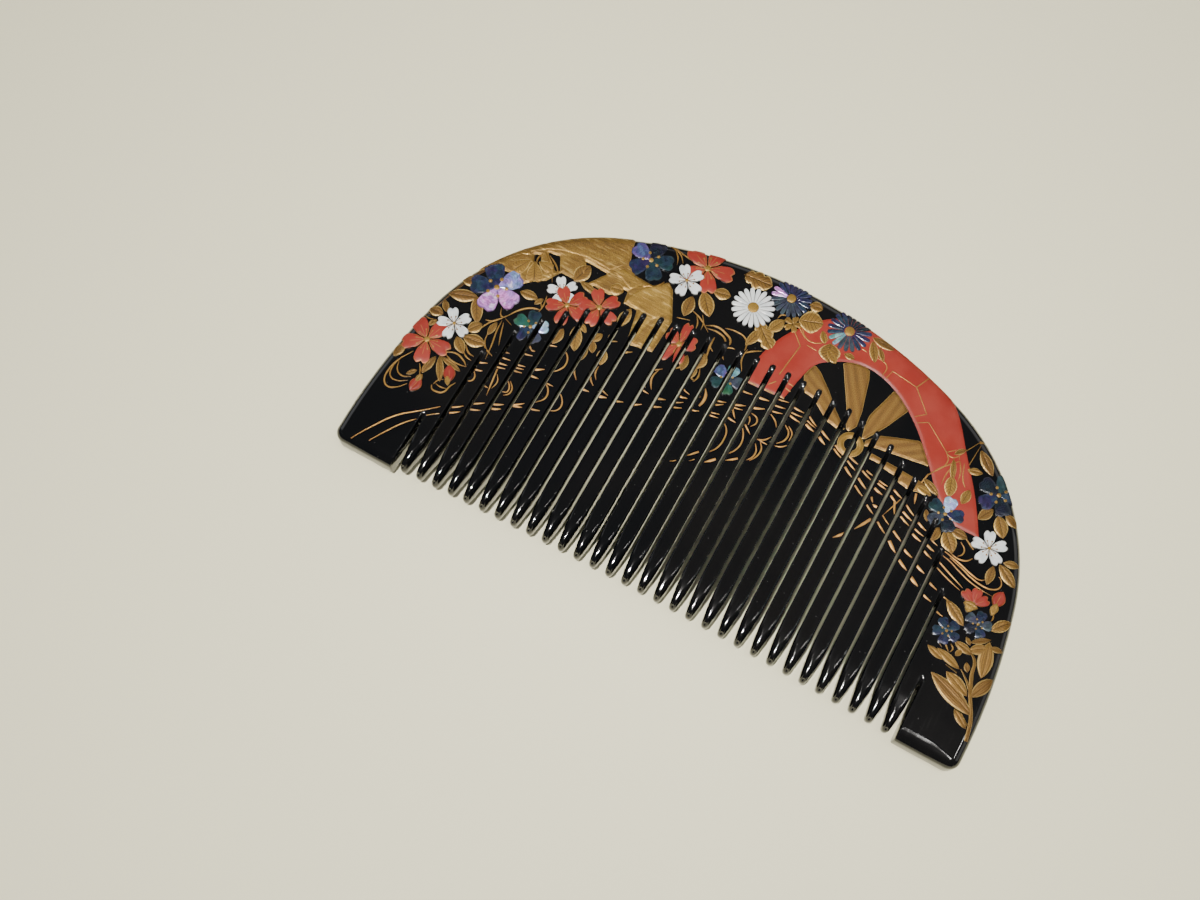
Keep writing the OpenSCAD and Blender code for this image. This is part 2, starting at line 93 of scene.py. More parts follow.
def setCamera(v):
    camera = makeObject("camera", bpy.data.cameras.new("camera"))
    camera.data.lens = v["lens"]
    camera.data.sensor_width = v["sensor"]
    camera.data.sensor_fit = "HORIZONTAL"
    camera.data.clip_start = v["near"]
    camera.data.clip_end = v["far"]
    turn = Matrix((v["right"], v["up"], v["back"])).transposed().to_4x4()
    camera.matrix_world = Matrix.Translation(Vector(v["place"]) * mm) @ turn
    scene.camera = camera


setCamera(view)
print("camera set")


class Nodes:
    # builds a shader or geometry tree; an input takes a plain value or another node's socket
    def __init__(self, tree):
        self.tree = tree

    def feed(self, socket, value):
        if isinstance(value, bpy.types.NodeSocket):
            self.tree.links.new(value, socket)
        else:
            socket.default_value = value

    def add(self, kind, inputs=(), **settings):
        node = self.tree.nodes.new(kind)
        for key, value in settings.items():
            setattr(node, key, value)
        for label, value in dict(inputs).items():
            self.feed(node.inputs[label], value)
        return node

    def out(self, kind, inputs=(), output=0, **settings):
        return self.add(kind, inputs, **settings).outputs[output]

    def math(self, operation, *values):
        return self.out("ShaderNodeMath", enumerate(values), operation=operation)

    def times(self, first, second):
        return self.math("MULTIPLY", first, second)

    def timesPlus(self, first, second, third):
        return self.math("MULTIPLY_ADD", first, second, third)

    def most(self, first, second):
        return self.math("MAXIMUM", first, second)

    def sine(self, value, rate):
        return self.math("SINE", self.times(value, rate))

    def ramp(self, value, low, high, bottom=0.0, top=1.0):
        inputs = {"Value": value, "From Min": low, "From Max": high, "To Min": bottom, "To Max": top}
        return self.out("ShaderNodeMapRange", inputs, "Result", clamp=True, interpolation_type="SMOOTHSTEP")

    def mix(self, factor, first, second):
        ends = [c if isinstance(c, bpy.types.NodeSocket) else (*c, 1.0) for c in (first, second)]
        return self.out("ShaderNodeMix", {0: factor, 6: ends[0], 7: ends[1]}, 2, data_type="RGBA")

    def place(self):
        return self.out("ShaderNodeTexCoord", output="Object")

    def attribute(self, name, output="Fac"):
        return self.out("ShaderNodeAttribute", output=output, attribute_name=name)

    def noise(self, place, scale, detail=2.0):
        return self.out("ShaderNodeTexNoise", {"Vector": place, "Scale": scale, "Detail": detail}, "Fac")

    def cells(self, place, scale):
        return self.add("ShaderNodeTexVoronoi", {"Vector": place, "Scale": scale}).outputs

    def channels(self, colour):
        return self.add("ShaderNodeSeparateColor", {"Color": colour}).outputs

    def stretched(self, place, turn, scale):
        inputs = {"Vector": place, "Rotation": (0.0, 0.0, turn), "Scale": scale}
        return self.out("ShaderNodeMapping", inputs, "Vector")

    def effect(self, group, **values):
        inputs = {label.replace("_", " "): value for label, value in values.items()}
        return self.add("ShaderNodeGroup", inputs, node_tree=group).outputs


# Shader groups that several finishes share
def newShaderGroup(name, inputs, outputs):
    tree = bpy.data.node_groups.new(name, "ShaderNodeTree")
    for label, value in inputs.items():
        socket = tree.interface.new_socket(name=label, in_out="INPUT", socket_type="NodeSocketFloat")
        socket.default_value = value
    for label in outputs:
        tree.interface.new_socket(name=label, in_out="OUTPUT", socket_type="NodeSocketFloat")
    t = Nodes(tree)
    return t, t.add("NodeGroupInput").outputs, t.add("NodeGroupOutput").inputs


def makePowderGroup():
    # sprinkled metal or pigment powder: a fine speckle and a slow drift
    scales = {"Grain per metre": 9000.0, "Drift per metre": 500.0}
    t, entry, result = newShaderGroup("sprinkledPowder", scales, ("Speckle", "Drift", "Height"))
    place = t.place()
    grain = t.noise(place, entry["Grain per metre"], 3.0)
    drift = t.noise(place, entry["Drift per metre"], 3.0)
    cells = t.cells(place, entry["Grain per metre"])["Distance"]
    t.feed(result["Speckle"], t.ramp(grain, 0.35, 0.65))
    t.feed(result["Drift"], t.ramp(drift, 0.3, 0.7))
    t.feed(result["Height"], t.math("ADD", grain, cells))
    return t.tree


def makeHandlingGroup():
    # what years of handling leave on lacquer and shell: faint smears, specks of dust, hairline scratches
    wear = {
        "dustShare": 0.1, "dustSize": 0.13, "scratchTurn": 0.5, "scratchStretch": 0.04, "scratches": 2600.0,
    }
    scales = {"Smear per metre": 60.0, "Dust per metre": 1500.0}
    t, entry, result = newShaderGroup("handlingMarks", scales, ("Smear", "Dust", "Scratch"))
    place = t.place()
    smear = t.noise(place, entry["Smear per metre"], 4.0)
    dust = t.cells(place, entry["Dust per metre"])
    chosen = t.math("GREATER_THAN", t.channels(dust["Color"])[0], 1 - wear["dustShare"])
    speck = t.math("LESS_THAN", dust["Distance"], wear["dustSize"])
    hair = t.stretched(place, wear["scratchTurn"], (1.0, wear["scratchStretch"], 1.0))
    t.feed(result["Smear"], t.ramp(smear, 0.35, 0.7))
    t.feed(result["Dust"], t.times(chosen, speck))
    t.feed(result["Scratch"], t.ramp(t.noise(hair, wear["scratches"], 1.0), 0.66, 0.74))
    return t.tree


powderGroup = makePowderGroup()
handlingGroup = makeHandlingGroup()


def newMaterial(name, roughness, metallic=0.0, colour=(0.5, 0.5, 0.5)):
    material = bpy.data.materials.new(name)
    material.use_nodes = True
    shader = material.node_tree.nodes["Principled BSDF"].inputs
    shader["Base Color"].default_value = (*colour, 1.0)
    shader["Roughness"].default_value = roughness
    shader["Metallic"].default_value = metallic
    return material, Nodes(material.node_tree), shader


def finishMaterial(t, shader, body, rough, height, bump):
    # bump: its depth in metres and its strength
    inputs = {"Distance": bump[0], "Strength": bump[1], "Height": height}
    t.feed(shader["Base Color"], body)
    t.feed(shader["Roughness"], rough)
    t.feed(shader["Normal"], t.out("ShaderNodeBump", inputs, "Normal"))


def makeBlackLacquer():
    look = {
        "black": (0.0030, 0.0033, 0.0038), "worn": (0.0050, 0.0048, 0.0048), "dust": (0.06, 0.06, 0.058),
        "polish": 0.05, "smear": 0.10, "scratchRough": 0.03, "dustRough": 0.1, "dustShows": 0.3,
        "waves": 260.0, "scratchDepth": -0.015, "bump": (0.00002, 0.6), "ior": 1.55,
    }
    material, t, shader = newMaterial("blackLacquer", look["polish"])
    marks = t.effect(handlingGroup)
    body = t.mix(marks["Smear"], look["black"], look["worn"])
    body = t.mix(t.times(marks["Dust"], look["dustShows"]), body, look["dust"])
    rough = t.timesPlus(marks["Smear"], look["smear"] - look["polish"], look["polish"])
    rough = t.timesPlus(marks["Scratch"], look["scratchRough"], rough)
    rough = t.timesPlus(marks["Dust"], look["dustRough"], rough)
    waves = t.noise(t.place(), look["waves"], 1.0)
    waves = t.timesPlus(marks["Scratch"], look["scratchDepth"], waves)
    finishMaterial(t, shader, body, rough, waves, look["bump"])
    shader["IOR"].default_value = look["ior"]
    return material


goldLook = {
    "deep": (0.095, 0.040, 0.008), "bright": (0.37, 0.225, 0.038), "worn": (0.21, 0.108, 0.016),
    "shadow": (0.035, 0.017, 0.005), "rubbed": (0.68, 0.47, 0.15),
    "rough": 0.42, "metallic": 0.60, "drift": 0.45, "speckle": 0.45, "edge": 0.35,
    "veins": 0, "ribs": 0, "brush": 0, "brushTurn": -0.45, "brushStretch": 0.16, "bump": (0.00002, 0.7),
}


def makeGold(name, **changes):
    # sprinkled gold: edges in their own colour, a paler gold on leaves and petals and a dark brown on the
    # lines, where it is painted shade along their sides; darker hollows; ribs, brushwork or side veins where
    # wanted
    look = {**goldLook, **changes}
    material, t, shader = newMaterial(name, look["rough"], look["metallic"])
    powder = t.effect(powderGroup)
    across = t.math("ABSOLUTE", t.attribute("across"))
    along = t.attribute("along")
    height = powder["Height"]
    body = t.mix(t.attribute("tone"), look["deep"], look["bright"])
    body = t.mix(t.times(powder["Drift"], look["drift"]), body, look["worn"])
    body = t.mix(t.times(powder["Speckle"], look["speckle"]), body, look["shadow"])
    # the edges take the edge colour; on the brushed lines it is dark, painted shade along their sides
    body = t.mix(t.times(t.ramp(across, 0.72, 0.98), look["edge"]), body, look["rubbed"])
    if look["ribs"]:
        rib = t.ramp(t.sine(across, 2 * math.pi * look["ribs"]), 0.2, 0.9)
        body = t.mix(t.times(rib, 0.5), body, look["shadow"])
        height = t.timesPlus(rib, -2.0, height)
    if look["brush"]:
        turned = t.stretched(t.place(), look["brushTurn"], (look["brushStretch"], 1.0, 1.0))
        hairs = t.noise(turned, look["brush"], 3.0)
        body = t.mix(t.ramp(hairs, 0.50, 0.80, 0.0, 0.55), body, look["shadow"])
        body = t.mix(t.ramp(hairs, 0.46, 0.25, 0.0, 0.5), body, look["rubbed"])
        height = t.timesPlus(hairs, 3.0, height)
    if look["veins"]:
        wave = t.sine(t.timesPlus(across, -0.22, along), 2 * math.pi * look["veins"])
        vein = t.most(t.ramp(wave, 0.75, 1.0), t.ramp(across, 0.10, 0.02))
        body = t.mix(t.times(vein, 0.75), body, look["shadow"])
        height = t.timesPlus(vein, -2.0, height)
    rough = t.timesPlus(powder["Speckle"], 0.14, look["rough"] - 0.05)
    finishMaterial(t, shader, body, rough, height, look["bump"])
    return material


def makeCoral(name, outlined):
    # red lacquer; the petals have a thin gold outline and a gold line up their middle
    look = {
        "coral": (0.238, 0.018, 0.0095), "deep": (0.12, 0.008, 0.005), "pale": (0.25, 0.034, 0.021),
        "gold": (0.34, 0.15, 0.05), "rough": 0.42, "gilt": 0.6, "giltMetal": 0.5, "drift": 0.5,
        "speckle": 0.15, "bump": (0.00001, 0.5), "ior": 1.35,
    }
    material, t, shader = newMaterial(name, look["rough"])
    powder = t.effect(powderGroup, Drift_per_metre=350.0)
    marks = t.effect(handlingGroup, Smear_per_metre=200.0)
    body = t.mix(t.attribute("tone"), look["deep"], look["coral"])
    body = t.mix(t.times(powder["Drift"], look["drift"]), body, look["pale"])
    body = t.mix(t.times(powder["Speckle"], look["speckle"]), body, look["deep"])
    if outlined:
        across = t.math("ABSOLUTE", t.attribute("across"))
        along = t.attribute("along")
        edge = t.most(t.ramp(across, 0.86, 0.95), t.ramp(along, 0.93, 0.98))
        line = t.times(t.ramp(across, 0.07, 0.02), t.ramp(along, 0.75, 0.6))
        gilt = t.most(edge, line)
        body = t.mix(t.times(gilt, look["gilt"]), body, look["gold"])
        t.feed(shader["Metallic"], t.times(gilt, look["giltMetal"]))
    rough = t.timesPlus(marks["Smear"], 0.12, look["rough"] - 0.05)
    finishMaterial(t, shader, body, rough, powder["Height"], look["bump"])
    shader["IOR"].default_value = look["ior"]
    return material


def makeWhiteShell():
    look = {
        "white": (0.62, 0.64, 0.63), "cool": (0.34, 0.39, 0.43), "line": (0.10, 0.085, 0.07), "rough": 0.30,
        "clouds": 1100.0, "cloudShows": 0.55, "fanRate": 14.0, "fan": 0.35, "rim": 0.7,
        "grain": 3500.0, "bump": (0.00003, 0.5),
    }
    material, t, shader = newMaterial("whiteShell", look["rough"])
    place = t.place()
    cloud = t.ramp(t.noise(place, look["clouds"], 3.0), 0.35, 0.7)
    body = t.mix(t.times(cloud, look["cloudShows"]), look["white"], look["cool"])
    across = t.attribute("across")
    along = t.attribute("along")
    fan = t.ramp(t.math("COSINE", t.times(across, look["fanRate"])), 0.80, 1.0)
    fan = t.times(fan, t.ramp(along, 0.80, 0.45))
    rim = t.most(t.ramp(t.math("ABSOLUTE", across), 0.82, 0.98), t.ramp(along, 0.93, 1.0))
    body = t.mix(t.most(t.times(fan, look["fan"]), t.times(rim, look["rim"])), body, look["line"])
    rough = t.timesPlus(cloud, 0.2, look["rough"] - 0.08)
    finishMaterial(t, shader, body, rough, t.noise(place, look["grain"]), look["bump"])
    return material


def makeBlueShell():
    # each petal's colour, partly a painted highlight where a petal catches the light, with drifting hue,
    # flakes of brightness, pale painted glints and growth lines
    look = {
        "rough": 0.22, "metallic": 0.25, "line": (0.02, 0.022, 0.03), "glint": (0.80, 0.70, 0.86),
        "flakes": 1900.0, "hues": 700.0, "glints": 900.0, "saturation": 0.9, "glintShows": 0.7,
        "growthRate": 60.0, "growth": 0.3, "rim": 0.6, "tilt": 2500.0, "bump": (0.00004, 0.8),
    }
    material, t, shader = newMaterial("blueShell", look["rough"], look["metallic"])
    place = t.place()
    petal = t.attribute("shellColour", "Color")
    flake = t.channels(t.cells(place, look["flakes"])["Color"])
    body = t.out("ShaderNodeHueSaturation", {
        "Color": petal, "Saturation": look["saturation"],
        "Hue": t.ramp(t.noise(place, look["hues"]), 0.25, 0.75, 0.44, 0.56),
        "Value": t.ramp(flake[1], 0.0, 1.0, 0.7, 1.3)}, "Color")
    across = t.math("ABSOLUTE", t.attribute("across"))
    along = t.attribute("along")
    # painted glints: pale patches on the brighter petals
    glint = t.ramp(t.noise(place, look["glints"]), 0.56, 0.68)
    glint = t.times(glint, t.ramp(t.channels(petal)[2], 0.2, 0.5))
    body = t.mix(t.times(glint, look["glintShows"]), body, look["glint"])
    growth = t.ramp(t.sine(along, look["growthRate"]), 0.3, 1.0)
    body = t.mix(t.times(growth, look["growth"]), body, look["line"])
    rim = t.most(t.ramp(across, 0.80, 0.97), t.ramp(along, 0.92, 1.0))
    body = t.mix(t.times(rim, look["rim"]), body, look["line"])
    tilt = t.math("ADD", flake[2], t.noise(place, look["tilt"]))
    finishMaterial(t, shader, body, look["rough"], tilt, look["bump"])
    return material


blackLacquer = makeBlackLacquer()
sprinkledGold = makeGold("sprinkledGold")
leafGold = makeGold("leafGold", bright=(0.34, 0.195, 0.034), veins=7, edge=0.75)
# the lines' dark edge colour is painted shade along their sides
lineGold = makeGold("lineGold", bright=(0.60, 0.33, 0.085), deep=(0.20, 0.07, 0.018), speckle=0.15,
                    edge=0.8, rough=0.38, rubbed=(0.17, 0.065, 0.02))
wheelGold = makeGold("wheelGold", edge=0.2, speckle=0.6, brush=2600.0)
spokeGold = makeGold("spokeGold", bright=(0.30, 0.165, 0.032), edge=0.45, speckle=0.55)
rimLineGold = makeGold("rimLineGold", bright=(0.52, 0.25, 0.06), edge=0.0)
# painted sheen: the brown that the rounded left shoulder of the black rim shows
rimSheenBrown = makeGold("rimSheenBrown", bright=(0.13, 0.055, 0.014), deep=(0.04, 0.018, 0.006), edge=0.0, speckle=0.9)
branchGold = makeGold("branchGold", bright=(0.33, 0.185, 0.032), edge=0.7, ribs=3.5)
threadGold = makeGold("threadGold", bright=(0.24, 0.10, 0.03), deep=(0.10, 0.035, 0.01))
stemGold = makeGold("stemGold", bright=(0.48, 0.27, 0.06), edge=0.0)
coralLacquer = makeCoral("coralLacquer", False)
coralPetal = makeCoral("coralPetal", True)
whiteShell = makeWhiteShell()
blueShell = makeBlueShell()
print("finishes made")


# Floor, room and lamps
studio = {
    "floorSize": 6.0, "floorColour": (0.74, 0.71, 0.50), "roomColour": (0.05, 0.05, 0.055), "floorRough": 0.8,
    "lamps": {
        # name: place, width and depth, power, colour, spread in degrees
        "keyLamp": ((-0.067, -0.19, 0.80), (0.03, 0.035), 0.74, (1.0, 0.97, 0.92), 44),
        "guardLamp": ((0.19, 0.02, 0.80), (0.14, 0.035), 1.1, (1.0, 0.98, 0.94), 180),
        "sideLamp": ((0.38, 0.172, 0.80), (0.03, 0.03), 0.25, (1.0, 0.98, 0.94), 180),
        "backSoftbox": ((0.30, 1.30, 1.05), (1.60, 1.00), 4.5, (1.0, 0.98, 0.95), 180),
        "leftSoftbox": ((-1.30, 0.50, 0.85), (1.20, 1.00), 4.0, (0.97, 0.98, 1.0), 180),
        "rightSoftbox": ((1.35, 0.60, 0.80), (1.20, 1.00), 3.0, (1.0, 0.98, 0.95), 180),
    },
}


def addLamp(name, place, size, power, colour, spread):
    light = bpy.data.lights.new(name, "AREA")
    light.shape = "RECTANGLE"
    light.size, light.size_y = size
    light.energy = power
    light.color = colour
    light.spread = math.radians(spread)
    aim = (-Vector(place)).to_track_quat("-Z", "Y").to_matrix().to_4x4()
    makeObject(name, light).matrix_world = Matrix.Translation(Vector(place)) @ aim


def makeStudio(s):
    half = s["floorSize"] / 2
    mesh = bpy.data.meshes.new("floor")
    corners = [(-half, -half, 0), (half, -half, 0), (half, half, 0), (-half, half, 0)]
    mesh.from_pydata(corners, [], [(0, 1, 2, 3)])
    mesh.materials.append(newMaterial("paleFloor", s["floorRough"], 0.0, s["floorColour"])[0])
    makeObject("floor", mesh)
    world = bpy.data.worlds.new("dimRoom")
    world.use_nodes = True
    world.node_tree.nodes["Background"].inputs["Color"].default_value = (*s["roomColour"], 1.0)
    scene.world = world
    for name, row in s["lamps"].items():
        addLamp(name, *row)


makeStudio(studio)
print("studio made")


# Shape of the outline: four arcs on each side, mirrored
halfWidth = comb["width"] / 2
halfHeight = comb["height"] / 2
faceZ = comb["thickness"]
midZ = faceZ / 2
edgeRadius = comb["edgeRadius"]
rise = comb["height"] - comb["widestY"]
shoulderRadius = comb["shoulderShare"] * rise
shoulderCentre = ((1 - comb["sideShare"]) * halfWidth - shoulderRadius,
                  comb["widestY"] + comb["shoulderYShare"] * rise)
crownAngle = 2 * math.atan((rise * (1 - comb["shoulderYShare"]) - shoulderRadius) / shoulderCentre[0])
crownRadius = shoulderRadius + shoulderCentre[0] / math.sin(crownAngle)
crownCentre = (0.0, comb["height"] - crownRadius)
sideFall = comb["sideShare"] * halfWidth / (shoulderCentre[1] - comb["widestY"])
shoulderAngle = math.pi / 2 - 2 * math.atan(sideFall)
sideRadius = shoulderRadius + (shoulderCentre[1] - comb["widestY"]) / math.cos(shoulderAngle)
sideCentre = (halfWidth - sideRadius, comb["widestY"])
cornerRadius = comb["cornerRadius"]
cornerLift = comb["widestY"] - cornerRadius
cornerReach = math.sqrt((sideRadius - cornerRadius) ** 2 - cornerLift ** 2)
cornerCentre = (sideCentre[0] + cornerReach, cornerRadius)
sideAngle = math.pi / 2 + math.asin(cornerLift / (sideRadius - cornerRadius))
outlineArcs = (
    # centre, radius, from, to, steps
    (crownCentre, crownRadius, 0.0, crownAngle, 26),
    (shoulderCentre, shoulderRadius, crownAngle, shoulderAngle, 40),
    (sideCentre, sideRadius, shoulderAngle, sideAngle, 10),
    (cornerCentre, cornerRadius, sideAngle, math.pi, 10),
)
footRadius = (halfWidth ** 2 + comb["footRise"] ** 2) / (2 * comb["footRise"])
slotCount = comb["teeth"] + 1
slotSpan = (slotCount - 1) / 2 * comb["pitch"] + comb["slotMargin"]
toothHalf = (comb["pitch"] - comb["slotWidth"]) / 2
slotHalf = comb["slotWidth"] / 2
mouthHalf = comb["mouthWidth"] / 2
wallInset = mouthHalf - slotHalf
wallStraight = midZ - comb["mouthDepth"]
edgeStraight = midZ - edgeRadius


def rowX(i, count):
    return comb["rowShift"] + (i - (count - 1) / 2) * comb["pitch"]


def slotX(i):
    return rowX(i, slotCount)


def slotTop(x):
    share = abs(x - comb["rowShift"]) / slotSpan
    return comb["slotReach"] * (1 - share ** comb["slotBow"]) ** (1 / comb["slotBow"])


def footY(x):
    return comb["footRise"] - footRadius + math.sqrt(footRadius ** 2 - x * x)


def clamp(value):
    return np.clip(value, 0, 1)


def roundOver(value, power=2):
    # one in the middle, falling to nothing at one on either side
    return np.sqrt(clamp(1 - np.abs(value) ** power))


def rimDistance(x, y):
    # how far each point lies inside the outline, and the outline's outward direction there
    ax = np.abs(x)
    best = np.full(ax.shape, np.inf)
    nx = np.zeros(ax.shape)
    ny = np.ones(ax.shape)
    slack, farInside = 0.002, 5.0
    for (cx, cy), radius, start, end, steps in outlineArcs:
        away = np.hypot(ax - cx, y - cy)
        angle = np.arctan2(ax - cx, y - cy)
        depth = radius - away
        better = (angle >= start - slack) & (angle <= end + slack) & (depth < best)
        best = np.where(better, depth, best)
        nx = np.where(better, (ax - cx) / away, nx)
        ny = np.where(better, (y - cy) / away, ny)
    best = np.where(np.isinf(best), farInside, best)
    low = (y < best) & (ax < cornerCentre[0])
    nx = np.where(low, 0.0, nx) * np.where(x < 0, -1, 1)
    return np.where(low, y, best), nx, np.where(low, -1.0, ny)


def drape(points, lift):
    # points of the flat chart, laid on the face and its rounded edge, lift above it; metres out
    x, y = points[:, xAt], points[:, yAt]
    depth, nx, ny = rimDistance(x, y)
    lean = np.clip((edgeRadius - depth) / edgeRadius, 0.0, 0.995)
    stand = np.sqrt(1 - lean ** 2)
    z = faceZ - edgeRadius * (1 - stand)
    return np.stack([x + nx * lean * lift, y - halfHeight + ny * lean * lift, z + stand * lift], 1) * mm


# Body. A station is a place on the edge: s on the silhouette, k where the flat face starts, the way
# inwards there, the height of the straight part of the wall, and the heights of the front and back
# faces from the middle plane.
def station(s, k, inward, straight, front=midZ, back=midZ):
    return (*s, *k, *inward, straight, front, back)


def mirrored(rows):
    return [(-r[0], r[1], -r[2], r[3], -r[4], *r[5:]) for r in reversed(rows)]


def outlineStations():
    rows = []
    for (cx, cy), radius, start, end, steps in outlineArcs:
        inner = radius - edgeRadius
        for i in range(0 if not rows else 1, steps + 1):
            a = start + (end - start) * i / steps
            u, v = math.sin(a), math.cos(a)
            rows.append(station((cx + radius * u, cy + radius * v), (cx + inner * u, cy + inner * v),
                                (-u, -v), edgeStraight))
    return rows


def guardFootStations():
    # foot of the right guard from its outer corner to its inner edge, then up that edge to the slot
    corner, footEdge, guardLow = comb["innerCorner"], comb["footEdge"], comb["guardLow"]
    edge = slotX(slotCount - 1) + slotHalf
    slant, gain, turns = comb["cornerSlant"], comb["cornerStraight"], bodySteps["corner"]
    rows = []
    for i in range(1, bodySteps["foot"] + 1):
        reach = edge + corner + comb["cornerClear"] - cornerCentre[0]
        x = cornerCentre[0] + reach * i / bodySteps["foot"]
        soft = edgeRadius + (footEdge - edgeRadius) * min(1.0, i / 3)
        rows.append(station((x, 0.0), (x, soft), (0.0, 1.0), edgeStraight))
    for i in range(turns + 1):
        a = -math.pi / 2 - math.pi / 2 * i / turns
        s = (edge + corner + corner * math.cos(a), corner + corner * math.sin(a))
        rows.append(station(s, (edge + wallInset, footEdge), slant, edgeStraight + gain * i / turns))
    for y in (comb["cornerTop"], edgeRadius, guardLow):
        blend = min(1.0, y / guardLow)
        straight = (edgeStraight + gain) * (1 - blend) + wallStraight * blend
        inward = slant if y <= edgeRadius else (1.0, 0.0)
        rows.append(station((edge, y), (edge + wallInset, max(y, footEdge)), inward, straight))
    return rows


def slotStations(i, lowRight, lowLeft):
    # up the right wall of slot i, round its top and down its left wall
    x = slotX(i)
    top = slotTop(x)
    mouthY = top - mouthHalf
    ridgeY = max(top - comb["ridgeDip"] - slotHalf, max(lowRight, lowLeft) + comb["leastWall"])

    def wall(side, low, shares):
        return [station((x + side * slotHalf, low + (ridgeY - low) * share),
                        (x + side * mouthHalf, low + (mouthY - low) * share), (side, 0.0), wallStraight)
                for share in shares]

    arch = []
    for j in range(bodySteps["arch"] + 1):
        a = math.pi * j / bodySteps["arch"]
        c, s = math.cos(a), math.sin(a)
        arch.append(station((x + slotHalf * c, ridgeY + slotHalf * s),
                            (x + mouthHalf * c, mouthY + mouthHalf * s), (c, s), wallStraight * c ** 2))
    return wall(1.0, lowRight, (0.0, 0.5)) + arch + wall(-1.0, lowLeft, (0.5, 0.0))


def toothStations():
    # one tooth's end, from the top of its right flank round the tip, with the tip's foot at (0, 0)
    length = comb["tipLength"]
    thin = toothHalf - comb["tipWidth"] / 2
    flank = (length ** 2 + thin ** 2) / (2 * thin)
    tip = comb["tipWidth"] / 2
    for turn in range(bodySteps["tipFit"]):
        low = tip * (1 - math.sin(turnEnd)) if turn else tip
        turnEnd = math.asin((length - low) / flank)
        tip = (toothHalf - flank + math.sqrt(flank ** 2 - (length - low) ** 2)) / math.cos(turnEnd)
    rows = []

    def fade(y, size):
        return max(0.0, 1 - y / comb[size]) ** 2

    def addRow(x, y, a):
        nx, ny = math.cos(a), -math.sin(a)
        crowned = min(1.0, max(0.0, (length - y) / comb["crownLength"])) ** comb["crownBow"]
        inset = wallInset + (comb["crownShare"] * max(x, comb["tipCore"] * tip) - wallInset) * crowned
        straight = wallStraight * min(1.0, y / comb["wallLength"]) ** comb["wallBow"]
        nose = comb["noseDrop"] * fade(y, "noseLength")
        front = midZ - comb["frontTaper"] * fade(y, "bevelLength") - nose
        back = midZ - comb["backTaper"] * fade(y, "bevelLength") - nose
        rows.append(station((x, y), (x - nx * inset, y - ny * inset), (-nx, -ny),
                            min(straight, front - comb["leastWall"]), front, back))

    for i in range(bodySteps["flank"] + 1):
        a = turnEnd * i / bodySteps["flank"]
        addRow(toothHalf - flank + flank * math.cos(a), length - flank * math.sin(a), a)
    for i in range(1, bodySteps["tip"] + 1):
        a = turnEnd + (math.pi / 2 - turnEnd) * i / bodySteps["tip"]
        addRow(tip * math.cos(a), tip - tip * math.sin(a), a)
    return rows + mirrored(rows[:-1])


def ringOf(row):
    # the section of the edge at a station, from the front face over the silhouette to the back face
    sx, sy, kx, ky, ux, uy, straight, front, back = row
    inset = 0.05
    halves = []
    for face in (front, back):
        half = [(kx + ux * inset, ky + uy * inset, face)]
        for i in range(bodySteps["edge"], -1, -1):
            a = math.pi / 2 * i / bodySteps["edge"]
            share = 1 - math.cos(a)
            half.append((sx + (kx - sx) * share, sy + (ky - sy) * share,
                         straight + (face - straight) * math.sin(a)))
        halves.append(half)
    upper, lower = halves
    return [(x, y, midZ + z) for x, y, z in upper] + [(x, y, midZ - z) for x, y, z in reversed(lower)]


class Weld:
    # collects faces by the places of their corners, so that shared corners are one vertex
    def __init__(self):
        self.places = {}
        self.points = []
        self.faces = []

    def corner(self, p):
        key = tuple(round(c * 2e4) for c in p)
        if key not in self.places:
            self.places[key] = len(self.points)
            self.points.append(p)
        return self.places[key]

    def face(self, corners):
        ids = [self.corner(p) for p in corners]
        ids = [a for a, b in zip(ids, ids[1:] + ids[:1]) if a != b]
        if len(ids) > 2 and len(set(ids)) == len(ids):
            self.faces.append(ids)

    def walls(self, rings):
        for a, b in zip(rings, rings[1:]):
            for i in range(len(a) - 1):
                self.face([a[i], a[i + 1], b[i + 1], b[i]])

    def mesh(self, name, low):
        # low: the height on the chart that becomes the mesh's own middle
        return meshFrom(name, [(x * mm, (y - low) * mm, z * mm) for x, y, z in self.points], self.faces)


def meshFrom(name, points, faces):
    mesh = bpy.data.meshes.new(name)
    mesh.from_pydata(points, [], faces)
    mesh.update()
    return mesh


def makePlate():
    weld = Weld()
    side = outlineStations()
    guard = guardFootStations()
    lastX = slotX(slotCount - 1)
    lows = [comb["tipLength"] + footY(rowX(i, comb["teeth"])) for i in range(comb["teeth"])]
    lows = [comb["guardLow"]] + lows + [comb["guardLow"]]
    runs = [slotStations(i, lows[i + 1], lows[i]) for i in range(slotCount - 1, -1, -1)]
    gapShift = slotX(0) + lastX   # the row of teeth stands a little off the middle
    leftGuard = [(r[0] + gapShift, r[1], r[2] + gapShift, *r[3:]) if abs(r[2]) < lastX + 2 else r
                 for r in mirrored(guard)]
    runs[0] = side + guard[:-1] + runs[0]
    runs[-1] = runs[-1] + leftGuard[1:] + mirrored(side)
    faces = ([], [])
    for run in runs:
        rings = [ringOf(r) for r in run]
        weld.walls(rings)
        for line, level in zip(faces, (0, -1)):
            line += [weld.corner(ring[level]) for ring in rings]
    for line in faces:
        weld.faces.append(list(dict.fromkeys(line)))
    mesh = weld.mesh("plate", halfHeight)
    solid = bmesh.new()
    solid.from_mesh(mesh)
    bmesh.ops.triangulate(solid, faces=[f for f in solid.faces if len(f.verts) > 4], ngon_method="EAR_CLIP")
    solid.to_mesh(mesh)
    solid.free()
    return mesh


def makeToothEnd():
    weld = Weld()
    rings = [ringOf(r) for r in toothStations()]
    weld.walls(rings)
    last = len(rings) - 1
    for level in (0, -1):
        for i in range(len(rings) // 2):
            weld.face([rings[j][level] for j in (i, i + 1, last - 1 - i, last - i)])
    return weld.mesh("toothEnd", 0.0)


